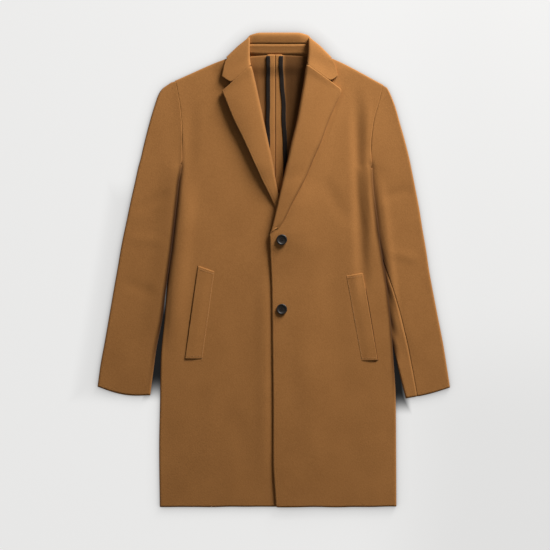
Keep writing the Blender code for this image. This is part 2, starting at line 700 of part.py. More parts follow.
def right_sleeve():
    """Both seams of this sleeve lie underneath."""
    shape = SleeveShape("right", RIGHT_SLEEVE)
    last = len(shape.rows)
    layer = []
    for index, row in enumerate(shape.rows):
        start = SEAM if index < SLEEVE_ARMPIT else shape.inner_end(row)
        layer.append(shape.top_layer(index, start))
    outer = [shape.outer_fold(index) for index in range(last)]
    wrap = 20.0
    inner = [shape.inner_fold(index, wrap) for index in range(SLEEVE_ARMPIT, last)]
    cloth("top_sleeve_right", [layer, outer, inner], CAMEL)
    under = []
    for index in range(UNDER_SLEEVE_START, last):
        start = SEAM if index < SLEEVE_ARMPIT else wrap + SEAM
        end = shape.tuck_end(index) - SEAM
        shares = (0, 0.15, 0.35, 0.6, 1)
        under.append([shape.low(index, mix(start, end, share)) for share in shares])
    cloth("under_sleeve_right", [under], CAMEL_DARK)


def left_sleeve():
    """The forearm seam of this sleeve lies on top, so the under sleeve shows."""
    shape = SleeveShape("left", LEFT_SLEEVE)
    last = len(shape.rows)
    layer = []
    for index, row in enumerate(shape.rows):
        start = SEAM if index < SLEEVE_ARMPIT else row.seam_at + SEAM
        layer.append(shape.top_layer(index, start))
    outer = [shape.outer_fold(index) for index in range(last)]
    cloth("top_sleeve_left", [layer, outer], CAMEL)
    bottom = []
    strip = []
    turn_reach = 12.0
    for index in range(UNDER_SLEEVE_START, last):
        row = shape.rows[index]
        start = SEAM if index < SLEEVE_ARMPIT else turn_reach
        end = shape.tuck_end(index) - SEAM
        shares = (0, 0.15, 0.35, 0.6, 1)
        bottom.append([shape.low(index, mix(start, end, share)) for share in shares])
        if index >= SLEEVE_ARMPIT:
            fold = shape.inner_fold(index, turn_reach)
            reach = shape.inner_end(row)
            seam = [
                shape.top(index, mix(row.seam_at, reach, share))
                for share in (0, 0.5)
            ]
            strip.append(seam + fold)
    cloth("under_sleeve_left", [bottom, strip], CAMEL_DARK)


def along(points, share):
    """The point at a share of a broken line's length."""
    lengths = [(b - a).length for a, b in zip(points, points[1:])]
    left = share * sum(lengths)
    for start, end, length in zip(points, points[1:], lengths):
        if left <= length:
            return start.lerp(end, left / length)
        left -= length
    return points[-1].copy()


def collar_section(fall, side_up, roll, inner_width, seam_z):
    """Fall, roll, inner band and stand of one row. The fall runs roll to outer edge."""
    up = Vector((0, 0, side_up))
    way = fall[1] - fall[0]
    way = Vector((way.x, way.y, 0)).normalized()
    start = fall[0]
    centre = start - up * roll
    arc = []
    for step in range(1, FOLD_STEPS + 1):
        angle = math.pi * step / FOLD_STEPS
        arc.append(centre + (up * math.cos(angle) - way * math.sin(angle)) * roll)
    base = arc[-1]

    def inner(reach):
        point = base + way * reach
        point.z = mix(base.z, seam_z, smooth(reach / inner_width))
        return point

    band = min(BAND_WIDTH, inner_width)
    strip = [inner(band * share) for share in (0.5, 1.0)]
    stand = []
    if inner_width > BAND_WIDTH + 4:
        first = BAND_WIDTH + 2 * SEAM
        stand = [inner(mix(first, inner_width, share)) for share in (0, 0.5, 1)]
    under = [point - up * (LAYER + 0.1) for point in fall[1:]]
    return {"upper": list(reversed(fall)) + arc + strip, "stand": stand, "under": under}


def collar_row(row, side_up):
    start = Vector((row.roll_x, row.roll_y, row.roll_z))
    end = Vector((row.outer_x, row.outer_y, row.outer_z))
    fall = [start.lerp(end, step / FALL_STEPS) for step in range(FALL_STEPS + 1)]
    return collar_section(fall, side_up, row.roll, row.inner_width, row.seam_z)


def gorge_row(side, shape):
    """The collar's end: along the gorge seam to the notch, then out to its tip."""
    pairs = shape.turned(GORGE)[FOLD_STEPS:]
    seam = [point + normal * LAYER for point, normal in pairs]
    notch_x = NOTCHES[side][0]
    share = (seam[0].x - notch_x) / (seam[0].x - seam[-1].x)
    line = (seam[-1] - seam[0]).to_2d().normalized()
    up = Vector((abs(line.y), abs(line.x) , 0)) * GORGE_GAP
    up.x *= -1 if line.x * line.y > 0 else 1
    fall = [
        along(seam, share * step / NOTCH_STEP) + up for step in range(NOTCH_STEP + 1)
    ]
    tip = Vector(COLLAR_TIPS[side])
    rest = FALL_STEPS - NOTCH_STEP
    notch = fall[-1]
    fall += [notch.lerp(tip, step / rest) for step in range(1, rest + 1)]
    row = shape.rows[GORGE]
    inner_z = row.edge_z - LAYER + 0.55 * fall_lift(row.edge_x, row.edge_y)
    return collar_section(fall, 1, row.roll + LAYER, 2.0, inner_z - SEAM)


def wrapped(top, bottom, out):
    """Rows that carry each point of one row round to the same column of another."""
    made = []
    for step in range(1, FOLD_STEPS + 1):
        angle = math.pi * step / (FOLD_STEPS + 1)
        line = []
        for high, low in zip(top, bottom):
            centre = (high + low) / 2
            radius = (high.z - low.z) / 2
            up = Vector((0, 0, math.cos(angle)))
            line.append(centre + (out * math.sin(angle) + up) * radius)
        made.append(line)
    return made


def collar(fronts):
    """Upper collar, under collar and stand, as one strip round the neck."""
    sections = [gorge_row("right", fronts["right"])]
    sections += [collar_row(row, 1) for row in RIGHT_LEAF]
    back = [collar_row(row, -1) for row in BACK_FALL]
    ends = [collar_row(row, 1) for row in LEFT_LEAF]
    ends.append(gorge_row("left", fronts["left"]))
    outs = (Vector((-0.69, 0.72, 0)), Vector((0.69, 0.72, 0)))
    pieces = {}
    for part in ("upper", "under", "stand"):
        rows = [section[part] for section in sections]
        rows += wrapped(rows[-1], back[0][part], outs[0])
        rows += [section[part] for section in back]
        rows += list(reversed(wrapped(ends[0][part], back[-1][part], outs[1])))
        rows += [section[part] for section in ends]
        pieces[part] = [row for row in rows if row]
    cloth("upper_collar", [pieces["upper"]], CAMEL)
    cloth("under_collar", [pieces["under"]], CAMEL_DARK)
    cloth("collar_stand", [pieces["stand"]], CAMEL_DARK)


def front_height(shape, x, y):
    """The height of a front's upper layer at a plan point below its break."""
    rows = shape.rows
    for low, high in zip(rows, rows[1:]):
        if y <= high.edge_y:
            share = max(0.0, (y - low.edge_y) / (high.edge_y - low.edge_y))
            heights = [shape.top(row, abs(x - row.edge_x)).z for row in (low, high)]
            return mix(heights[0], heights[1], share)
    return rows[-1].rest_z


def welt(name, side, shape):
    """A pocket welt, made from the front's own heights and moved out."""
    corners = WELTS[side]
    above = HALF + SEAM + WELT_CLOTH / 2 + 0.5
    rows = []
    for along_share in (0, 0.12, 0.25, 0.4, 0.55, 0.7, 0.85, 1):
        first = Vector(corners.seam_top).lerp(Vector(corners.seam_bottom), along_share)
        last = Vector(corners.mouth_top).lerp(Vector(corners.mouth_bottom), along_share)
        line = []
        for share in (0, 0.35, 0.7, 1):
            spot = first.lerp(last, share)
            height = front_height(shape, spot.x, spot.y) + above
            line.append(Vector((spot.x, spot.y, height)))
        rows.append(line)
    return cloth(name, [rows], CAMEL, WELT_CLOTH)


def cylinder(name, radius, low, high, place, sides=16):
    """An upright cylinder between two heights, in millimetres."""
    bpy.ops.mesh.primitive_cylinder_add(
        vertices=sides,
        radius=radius * MM,
        depth=(high - low) * MM,
        location=(place[0] * MM, place[1] * MM, (low + high) / 2 * MM),
    )
    made = bpy.context.object
    made.name = name
    for collection in list(made.users_collection):
        collection.objects.unlink(made)
    return made


def cutter(name, radius, low, high, place):
    made = cylinder(name, radius, low, high, place)
    made.hide_render = True
    made.display_type = "WIRE"
    CUTTERS.objects.link(made)
    return made


def cut(piece, tool):
    modifier = piece.modifiers.new("Cut " + tool.name, "BOOLEAN")
    modifier.operation = "DIFFERENCE"
    modifier.object = tool


def button(label, place, front, facing, shape):
    """A four-hole button with its thread shank, through an eyelet of the left front."""
    surface = front_height(shape, *place) + HALF
    base = surface + 0.9
    under = RIGHT_FRONT[BREAK].edge_z + HALF + SEAM
    eyelet = cutter("eyelet_" + label, EYELET_RADIUS, under - 3, surface + 6, place)
    cut(front, eyelet)
    cut(facing, eyelet)
    shank = cylinder("shank_" + label, SHANK_RADIUS, under, base - 0.3, place, 10)
    shank.data.materials.append(material("thread_" + label, HORN_BLACK, 0.8))
    COAT.objects.link(shank)
    radius = BUTTON_RADIUS
    high = BUTTON_HEIGHT
    profile = [
        (0.0, high - 1.3),
        (radius * 0.62, high - 1.3),
        (radius * 0.78, high - 0.2),
        (radius * 0.88, high),
        (radius * 0.97, high - 0.5),
        (radius, high * 0.55),
        (radius * 0.8, 0.25),
        (radius * 0.5, 0.0),
        (0.0, 0.0),
    ]
    mesh = bmesh.new()
    corners = [mesh.verts.new(Vector((x, 0, z)) * MM) for x, z in profile]
    for first, second in zip(corners, corners[1:]):
        mesh.edges.new((first, second))
    data = bpy.data.meshes.new("button_" + label)
    mesh.to_mesh(data)
    mesh.free()
    data.materials.append(material("horn_" + label, HORN_BLACK, 0.35))
    made = bpy.data.objects.new("button_" + label, data)
    made.location = Vector((place[0], place[1], base)) * MM
    COAT.objects.link(made)
    turn = made.modifiers.new("Turn", "SCREW")
    turn.axis = "Z"
    turn.steps = 24
    turn.render_steps = 24
    turn.use_merge_vertices = True
    turn.merge_threshold = 0.00001
    for number, (x, y) in enumerate(((1, 1), (-1, 1), (-1, -1), (1, -1))):
        spot = (place[0] + x * 2.0, place[1] + y * 2.0)
        hole = cutter(f"hole_{label}_{number}", 0.95, base - 2, base + 6, spot)
        cut(made, hole)


for old in list(bpy.data.objects):
    bpy.data.objects.remove(old)
COAT = bpy.data.collections.new("Wool overcoat")
CUTTERS = bpy.data.collections.new("Cutters")
bpy.context.scene.collection.children.link(COAT)
bpy.context.scene.collection.children.link(CUTTERS)

fronts = {
    "left": FrontShape("left", LEFT_FRONT),
    "right": FrontShape("right", RIGHT_FRONT),
}
made = {}
for side, shape in fronts.items():
    patches = [shape.body(), shape.side_fold(), shape.shoulder_fold(), shape.lapel()]
    made["front_" + side] = cloth("front_" + side, patches, CAMEL)
    made["facing_" + side] = cloth("facing_" + side, shape.facing_patches(), CAMEL)
    welt("welt_" + side, side, shape)
    seam_tape("seam_tape_" + side, side)
back_piece("back_left", "left", fronts["left"], LEFT_BACK)
back_piece("back_right", "right", fronts["right"], RIGHT_BACK)
left_sleeve()
right_sleeve()
collar(fronts)
for label, place in BUTTONS.items():
    button(label, place, made["front_left"], made["facing_left"], fronts["left"])
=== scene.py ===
"""The looks of a single-breasted wool overcoat that lies flat on its back.

Z is up, the collar is toward +Y and the wearer's left is +X. The tables are in
millimetres. Each piece of cloth is lofted through the rows of its table, with a
crease here and there, and gets its thickness and soft edges from its modifiers.
"""

import math
from collections import namedtuple

import bmesh
import bpy
import numpy as np
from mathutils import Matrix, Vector, noise


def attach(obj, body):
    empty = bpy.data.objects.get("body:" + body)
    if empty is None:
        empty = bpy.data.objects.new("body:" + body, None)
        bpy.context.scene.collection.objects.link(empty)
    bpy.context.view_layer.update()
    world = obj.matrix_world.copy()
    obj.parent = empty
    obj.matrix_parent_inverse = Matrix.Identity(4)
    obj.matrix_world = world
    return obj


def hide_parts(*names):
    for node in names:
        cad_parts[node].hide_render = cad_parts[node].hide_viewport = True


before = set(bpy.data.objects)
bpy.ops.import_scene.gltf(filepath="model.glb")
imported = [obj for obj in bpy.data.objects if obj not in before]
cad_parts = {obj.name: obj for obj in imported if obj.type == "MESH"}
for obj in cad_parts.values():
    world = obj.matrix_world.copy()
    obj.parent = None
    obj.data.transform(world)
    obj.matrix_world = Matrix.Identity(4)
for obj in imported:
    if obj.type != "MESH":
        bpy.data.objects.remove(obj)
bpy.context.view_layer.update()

MM = 0.001
UP = Vector((0, 0, 1))
CLOTH = 2.0
SEAM = 0.3
LAYER = CLOTH + SEAM
HALF = CLOTH / 2
FLOOR = HALF
MERGE = 0.01 * MM

# How far the cloth wraps to the underside, and how finely a turn or a lapel is split.
CENTRE_BACK = 3.1
SIDE_WRAP = 25.0
SHOULDER_WRAP = 10.0
FOLD_STEPS = 6
LAPEL_STEPS = 12
LAPEL_BELLY = 0.02

# Where the lapel starts to turn, its layers are pressed flat and a little apart.
TWIST_GAP = 0.2
TWIST_ROWS = 5
PRESSED = 0.06
PRESS_ROWS = 9.0
PRESS_POWER = 1.4

# The collar's fall lies under the back of the neck and lifts the body there. The fronts
# take up a share of that lift.
FALL_LIFT = 4.9
LIFT_SHARE = 0.55
FALL_LEFT = -106.0
FALL_RIGHT = 128.0
FALL_BOTTOM = 438.0
FALL_EASE = 26.0

# A front's rows run from the hem to the shoulder. The edge is the front edge, then the
# roll line, then the neck seam. The side is the side fold, then the armhole seam.
FrontRow = namedtuple(
    "FrontRow",
    "edge_x edge_y side_x side_y edge_z shelf rest_z side_z side_low roll turn "
    "lapel_x lapel_y lapel_lift crown",
)
ARMPIT = 15
BREAK = 7
GORGE = 21

LEFT_FRONT = [
    FrontRow(5, -506, 262.5, -505, 9.6, 56, 8.4, 7.2, 1.0, 0, 0, 5, -506, 0, 0),
    FrontRow(-1, -400, 262, -400, 9.6, 56, 8.4, 7.2, 1.0, 0, 0, -1, -400, 0, 0),
    FrontRow(-1, -277, 261, -277, 9.6, 56, 8.6, 7.2, 1.0, 0, 0, -1, -277, 0, 0),
    FrontRow(-2, -193, 256, -193, 9.6, 56, 9.0, 9.6, 5.6, 0, 0, -2, -193, 0, 0),
    FrontRow(-3, -106, 250, -106, 9.8, 56, 9.4, 10.2, 6.2, 0, 0, -3, -106, 0, 0),
    FrontRow(-4, -36, 242, -36, 10.0, 56, 9.8, 10.4, 6.4, 0, 0, -4, -36, 0, 0),
    FrontRow(-7, 30, 232, 30, 11.6, 56, 10.2, 10.6, 6.5, 0, 0, -7, 30, 0, 0),
    FrontRow(-8, 72, 226, 72, 15.2, 30, 10.6, 10.6, 6.5, 1.3, 0, -8, 72, 0, 0),
    FrontRow(-8, 78, 226, 78, 15.6, 30, 10.6, 10.6, 6.5, 1.3, 90, -7.4, 78, 0, 0),
    FrontRow(-7.5, 84, 225, 84, 15.8, 30, 10.6, 10.6, 6.5, 1.3, 165, -4, 82.5, 0, 0),
    FrontRow(-5, 93, 224, 93, 16.0, 28, 10.6, 10.6, 6.5, 1.4, 180, 8, 86, 0.3, 0),
    FrontRow(-1, 109, 222, 109, 16.2, 24, 10.6, 10.6, 6.5, 1.6, 180, 22, 105, 0.6, 0),
    FrontRow(6, 138, 218, 138, 16.6, 18, 10.6, 10.6, 6.5, 1.8, 180, 40, 142, 0.6, 0),
    FrontRow(13, 168, 214, 168, 16.2, 8, 10.6, 10.6, 6.2, 2.2, 180, 59, 178, 0.6, 0),
    FrontRow(20, 197, 212, 196, 15.6, 0, 10.4, 10.4, 6.0, 2.4, 180, 71, 202, 0.6, 0),
    FrontRow(25, 217, 211, 217, 16.0, 0, 10.2, 9.0, 4.0, 2.6, 180, 78, 220, 0.7, 0),
    FrontRow(28, 228, 210, 226, 16.4, 0, 10.0, 7.6, 1.0, 2.6, 180, 83, 232, 0.8, 0),
    FrontRow(37, 269, 208, 262, 17.2, 0, 9.0, 6.4, 1.0, 2.8, 180, 101, 273, 1.2, 0),
    FrontRow(49, 318, 212, 306, 17.4, 0, 8.0, 6.3, 1.0, 3.0, 180, 118, 320, 1.4, 0),
    FrontRow(57, 362, 219, 338, 17.0, 0, 7.2, 6.3, 1.0, 3.0, 180, 134, 356, 1.6, 0),
    FrontRow(64, 400, 225.4, 359, 16.2, 0, 6.7, 6.3, 1.0, 3.0, 180, 142, 374, 1.6, 0.5),
    FrontRow(70, 435, 229.4, 375, 14.8, 0, 6.4, 6.3, 1.0, 3.0, 180, 144, 385, 1.8, 2.5),
    FrontRow(88, 446, 231.6, 385, 9.0, 0, 6.2, 6.2, 1.0, 3.0, 0, 88, 446, 0, 4.5),
    FrontRow(101.5, 453, 233, 391.8, 6.2, 0, 6.2, 6.2, 1.0, 3.0, 0, 101.5, 453, 0, 6.5),
]

RIGHT_FRONT = [
    FrontRow(50, -505, -243, -506, 5.6, 8, 5.8, 6.0, 1.0, 0, 0, 50, -505, 0, 0),
    FrontRow(50, -383, -244.5, -383, 5.6, 8, 5.8, 6.0, 1.0, 0, 0, 50, -383, 0, 0),
    FrontRow(50, -277, -242.5, -277, 5.6, 8, 5.8, 6.0, 1.0, 0, 0, 50, -277, 0, 0),
    FrontRow(50, -192, -241, -192, 5.6, 8, 6.0, 6.0, 1.0, 0, 0, 50, -192, 0, 0),
    FrontRow(50, -106, -233, -106, 5.6, 8, 6.2, 5.0, 1.0, 0, 0, 50, -106, 0, 0),
    FrontRow(50, -36, -228, -36, 5.6, 8, 6.4, 5.0, 1.0, 0, 0, 50, -36, 0, 0),
    FrontRow(50, 30, -222, 30, 5.6, 8, 6.6, 5.0, 1.0, 0, 0, 50, 30, 0, 0),
    FrontRow(50, 70, -218, 70, 5.6, 8, 6.6, 5.0, 1.0, 1.2, 0, 50, 70, 0, 0),
    FrontRow(49, 76, -217, 76, 5.6, 8, 6.6, 5.0, 1.0, 1.2, 70, 48, 76, 0, 0),
    FrontRow(46, 82, -217, 82, 5.6, 8, 6.6, 5.0, 1.0, 1.2, 130, 44, 82, 0, 0),
    FrontRow(42, 90, -216, 90, 5.6, 8, 6.6, 5.0, 1.0, 1.2, 180, 34, 91, 0.2, 0),
    FrontRow(34, 104, -214, 104, 5.6, 8, 6.6, 5.0, 1.0, 1.2, 180, 20, 107, 0.2, 0),
    FrontRow(22, 132, -211, 132, 5.9, 8, 6.6, 5.0, 1.0, 1.3, 180, 3, 136, 0.6, 0),
    FrontRow(13, 158, -208.6, 158, 7.2, 14, 6.6, 5.0, 1.0, 1.6, 180, -8, 160, 2.0, 0),
    FrontRow(5, 194, -204, 194, 8.6, 16, 6.6, 5.0, 1.0, 2.0, 180, -26, 195, 3.4, 0),
    FrontRow(1, 217, -199, 215, 9.5, 22, 6.6, 6.2, 1.0, 2.2, 180, -36, 218, 4.2, 0),
    FrontRow(-1, 228, -198, 225, 9.5, 20, 6.6, 6.4, 1.0, 2.3, 180, -41, 228, 4.6, 0),
    FrontRow(-10, 269, -195, 262, 9.5, 12, 6.6, 6.4, 1.0, 2.6, 180, -60, 270, 5.8, 0),
    FrontRow(-22, 326, -196, 308, 9.4, 8, 6.5, 6.3, 1.0, 2.8, 180, -88, 327, 6.8, 0),
    FrontRow(-33, 377, -199, 345, 9.2, 8, 6.4, 6.3, 1.0, 3.0, 180, -103, 364, 6.2, 0),
    FrontRow(-40, 408, -203, 370.5, 9.0, 8, 6.3, 6.3, 1.0, 3.0, 180, -108, 376, 5.0, 0),
    FrontRow(-47, 433, -206, 386, 9.0, 8, 6.2, 6.3, 1.0, 3.0, 180, -109, 381, 4.2, 1.5),
    FrontRow(-65, 446, -207.8, 393.8, 7.0, 8, 6.2, 6.2, 1.0, 3.0, 0, -65, 446, 0, 3),
    FrontRow(-78.5, 453, -209, 400.8, 6.2, 8, 6.2, 6.2, 1.0, 3.0, 0, -78.5, 453, 0, 4),
]

SHELF_EASE = {"left": 105.0, "right": 52.0}
SIDE_EASE = {"left": 48.0, "right": 17.0}

# Columns of a front: reaches from its edge, then in from its side, then underneath. The
# lower layer comes down to the surface between UNDER_START and UNDER_EASE beyond it.
EDGE_COLUMNS = (0, 18, 42, 70)
SIDE_COLUMNS = (58, 42, 28, 14)
UNDER_COLUMNS = (8, 13, 19, SIDE_WRAP)
UNDER_START = 20.0
UNDER_EASE = 25.0

# The back's rows reach from the centre seam through a middle point to its side.
BackRow = namedtuple("BackRow", "centre_y middle_x middle_y front_row")
LEFT_BACK = [
    BackRow(-504, 100, -504, 0),
    BackRow(-400, 100, -400, 1),
    BackRow(-277, 100, -277, 2),
    BackRow(-193, 100, -193, 3),
    BackRow(-106, 100, -106, 4),
    BackRow(-36, 100, -36, 5),
    BackRow(30, 100, 30, 6),
    BackRow(72, 100, 72, 7),
    BackRow(109, 100, 109, 11),
    BackRow(138, 100, 138, 12),
    BackRow(168, 100, 168, 13),
    BackRow(217, 100, 217, 15),
    BackRow(232, 100, 230, 16),
    BackRow(280, 100, 275, 17),
    BackRow(330, 100, 320, 18),
    BackRow(370, 96, 362, 19),
    BackRow(405, 90, 397, 20),
    BackRow(430, 84, 423, 21),
    BackRow(446, 78, 440, 22),
    BackRow(459.5, 72, 455.5, 23),
]
MIDDLE_OF_NECK = 11.5
RIGHT_BACK = [
    row._replace(middle_x=2 * MIDDLE_OF_NECK - row.middle_x) for row in LEFT_BACK
]
BACK_SHARES = (0, 0.06, 0.13, 0.2, 0.26, 0.32, 0.38, 0.44, 0.52, 0.62, 0.75, 0.88, 1)
SHOULDER_LEAN = (0.45, 0.9)

# Seam allowances of the centre back, pressed open, and the dark tape on their edges.
AllowanceRow = namedtuple("AllowanceRow", "y left right")
ALLOWANCES = [
    AllowanceRow(160, 29, -15),
    AllowanceRow(217, 28, -15),
    AllowanceRow(280, 27, -15),
    AllowanceRow(320, 25.5, -15),
    AllowanceRow(370, 23, -15),
    AllowanceRow(405, 20.5, -14.6),
    AllowanceRow(430, 19, -14.6),
]
ALLOWANCE_START = 165.0
ALLOWANCE_EASE = 20.0
ALLOWANCE_SHARES = (0.3, 0.65, 1.0)
TAPE_START = 180.0
TAPE_END = 458.5
TAPE_STEP = 6.0
TAPE_WIDTH = 8.3
TAPE_SHARES = (1, 0.75, 0.5, 0.25, 0)
TAPE_CLOTH = 1.0

# Both edges of the tape sway a little: how far, over what length, and the noise's place.
TAPE_SWAY = 1.6
TAPE_WAVE = 42.0
TAPE_NOISE = {"left": 7.0, "right": -4.0}
WIDTH_SWAY = 0.5
WIDTH_WAVE = 60.0
WIDTH_NOISE = 3

# A sleeve's rows run from the shoulder to the cuff. The first rows follow the armhole.
SleeveRow = namedtuple(
    "SleeveRow", "in_x in_y out_x out_y in_z in_low out_z tuck seam_at"
)
LEFT_SLEEVE = [
    SleeveRow(233.6, 393.6, 242, 388.6, 6.2, 1.0, 6.0, 9, 0),
    SleeveRow(231.6, 385, 248, 378.5, 6.2, 1.0, 6.4, 15, 0),
    SleeveRow(229.4, 375, 255, 361.5, 6.3, 1.0, 6.8, 27, 0),
    SleeveRow(225.4, 359, 262, 341.5, 6.3, 1.0, 6.8, 38, 0),
    SleeveRow(219, 338, 268.5, 318, 6.3, 1.0, 6.8, 34, 0),
    SleeveRow(212, 306, 278.5, 283, 6.3, 1.0, 6.8, 26, 0),
    SleeveRow(208, 262, 290, 238, 6.4, 1.0, 6.8, 20, 0),
    SleeveRow(207.5, 226, 297, 204, 5.6, 1.0, 6.8, 18, 0),
    SleeveRow(206.5, 217, 299, 194, 4.8, 1.0, 6.8, 18, 0),
    SleeveRow(209, 190, 304, 168, 4.4, 1.0, 6.8, 18, 0),
    SleeveRow(208, 150, 311, 132, 4.2, 1.0, 6.8, 18, 1),
    SleeveRow(210, 95, 318, 88, 4.2, 1.0, 6.8, 18, 5),
    SleeveRow(214, 36, 326, 42, 4.2, 1.0, 6.8, 18, 14),
    SleeveRow(219, -8, 332.5, -2, 4.2, 1.0, 6.8, 18, 23.5),
    SleeveRow(226, -50, 340, -43, 4.2, 1.0, 6.8, 18, 31),
    SleeveRow(237, -108, 351, -100, 4.2, 1.0, 6.8, 18, 36.5),
    SleeveRow(256, -168, 362, -156, 4.2, 1.0, 6.8, 18, 31.5),
    SleeveRow(267, -215, 369, -199, 6.2, 1.0, 6.6, 18, 29.5),
    SleeveRow(282, -274, 377, -250.5, 6.2, 1.0, 6.2, 18, 25.5),
]
RIGHT_SLEEVE = [
    SleeveRow(-209.6, 402.6, -219, 399.4, 6.2, 1.0, 6.0, 8, 0),
    SleeveRow(-207.8, 393.8, -226, 394.5, 6.2, 1.0, 6.4, 15, 0),
    SleeveRow(-206, 386, -235.5, 389, 6.3, 1.0, 6.8, 27, 0),
    SleeveRow(-203, 370.5, -244.5, 377.5, 6.3, 1.0, 6.8, 38, 0),
    SleeveRow(-199, 345, -253.5, 353, 6.3, 1.0, 6.8, 34, 0),
    SleeveRow(-196, 308, -264, 318.5, 6.3, 1.0, 6.8, 26, 0),
    SleeveRow(-195, 262, -277, 268, 6.4, 1.0, 6.8, 20, 0),
    SleeveRow(-195.5, 225, -285.5, 232, 8.4, 4.6, 6.8, 18, 0),
    SleeveRow(-196, 215, -288.5, 222, 9.6, 6.4, 6.8, 18, 0),
    SleeveRow(-200.5, 192, -295.5, 190, 10.4, 7.4, 6.8, 18, 0),
    SleeveRow(-205, 150, -304.5, 150, 10.8, 7.6, 6.8, 18, 0),
    SleeveRow(-211, 95, -315, 100, 10.8, 7.6, 6.8, 18, 0),
    SleeveRow(-217, 43, -325, 52, 10.8, 7.6, 6.8, 18, 0),
    SleeveRow(-223, 0, -332.5, 8, 10.8, 7.6, 6.8, 18, 0),
    SleeveRow(-229, -43, -340.5, -37, 10.6, 7.4, 6.8, 18, 0),
    SleeveRow(-237, -106, -351, -98, 9.4, 5.6, 6.8, 18, 0),
    SleeveRow(-250, -170, -361.5, -158, 7.0, 1.4, 6.8, 18, 0),
    SleeveRow(-256, -213, -369.5, -201, 6.4, 1.0, 6.6, 18, 0),
    SleeveRow(-263, -267, -376, -248.5, 6.2, 1.0, 6.2, 18, 0),
]
SLEEVE_ARMPIT = 8
UNDER_SLEEVE_START = 3
CUFF_BOW = {"left": 3.0, "right": 8.5}
CUFF_FADE = 0.5
SLEEVE_EASE = 52.0
SLEEVE_LOW_START = 6.0
SLEEVE_LOW_EASE = 34.0
SLEEVE_RIM = 22.0
SLEEVE_SAG = 0.7
SAG_WIDTH = 60.0
SLEEVE_WRAP = 20.0
UNDER_TURN = 12.0
FOREARM_SHARES = (0, 0.33, 0.66)

# The collar's rows run from one leaf, behind the neck, to the other leaf. A row goes
# from the roll to the outer edge. The leaves lie on the fronts with their outer side
# up, and the back of the fall lies on the floor with its outer side down.
CollarRow = namedtuple(
    "CollarRow",
    "roll_x roll_y outer_x outer_y roll_z outer_z roll inner_width seam_z",
)
RIGHT_LEAF = [
    CollarRow(-55, 450, -105.5, 433, 17.4, 14.6, 4.4, 5, 8.6),
    CollarRow(-54.5, 470, -102, 445, 17.0, 14.6, 3.2, 24, 9.6),
    CollarRow(-53, 491, -98, 451, 15.4, 14.4, 2.5, 38, 9.6),
]
BACK_FALL = [
    CollarRow(-55, 494, -98, 451, 1.0, 1.0, 3.5, 38, 6.4),
    CollarRow(-45, 498, -68, 448, 1.0, 1.0, 5.0, 40, 6.4),
    CollarRow(-28, 499.5, -36, 450, 1.0, 1.0, 6.2, 40.6, 6.4),
    CollarRow(11.5, 499.5, 11.5, 452, 1.0, 1.0, 6.2, 40.6, 6.4),
    CollarRow(52, 499.5, 59, 450, 1.0, 1.0, 6.2, 40.6, 6.4),
    CollarRow(68, 498, 91, 448, 1.0, 1.0, 5.0, 40, 6.4),
    CollarRow(79, 493.5, 121, 450, 1.0, 1.0, 3.5, 38, 6.4),
]
LEFT_LEAF = [
    CollarRow(76.5, 490, 121, 450, 20.0, 14.8, 2.5, 38, 9.6),
    CollarRow(77.5, 470, 126, 445, 22.2, 14.4, 3.2, 24, 9.6),
    CollarRow(77, 450, 131.5, 434, 23.2, 13.6, 4.4, 5, 8.6),
]
COLLAR_TIPS = {"left": (136.5, 413.5, 13.0), "right": (-109.5, 412.5, 14.6)}
NOTCH_X = {"left": 121, "right": -90}

# Where the collar turns from the back of the neck to a leaf: the way out, and how far.
TURN_OUT = {"left": (0.69, 0.72, 0), "right": (-0.69, 0.72, 0)}
TOP_TURN = 0.5
ROLL_END_TURN = 0.12
TURN_EASE = 26.0
FALL_SHARES = (0, 0.17, 0.34, 0.5, 0.67, 0.83, 0.97, 1)
TIP_SHARES = (0.5, 0.93, 1)
NOTCH_STEP = 4
BAND_WIDTH = 18.5
STAND_LEAST = 4.0
FALL_GAP = 0.1
GORGE_BAND = 2.0

# How far apart the sewn edges lie here. Below 0 they press over each other a little.
GORGE_GAP = -0.15
BAND_GAP = -0.2
THREAD_GAP = 0.04
ARMHOLE_GAP = {"left": 0.04, "right": -0.5}

# Pocket welts: the corners of each, seam side first, from the top down.
Welt = namedtuple("Welt", "seam_top seam_bottom mouth_top mouth_bottom")
WELTS = {
    "left": Welt((155, -12), (188, -194), (190, -6), (222, -193)),
    "right": Welt((-126, -3), (-152, -190), (-161, 9), (-189, -190)),
}

BUTTONS = {"upper": (17.6, 64.3), "lower": (17.6, -83.5)}
SHANK_RISE = 0.45

# Fine sizes of the surfaces: row spacing, and how often each column gap is split.
ROW_STEP = 8.5
TWIST_SPLIT = 3
LEAST_GAP = 0.5
END_STEP = 0.05
BODY_SPLIT = (3, 3, 3, 7, 7, 2, 2, 2, 3)
FACING_COLUMNS = 10
SLEEVE_SHARES = (
    0, 0.06, 0.12, 0.18, 0.25, 0.32, 0.4, 0.5, 0.6, 0.7, 0.8, 0.87, 0.94, 1,
)
UNDER_SHARES = (0, 0.08, 0.15, 0.25, 0.35, 0.48, 0.6, 0.73, 0.86, 1)

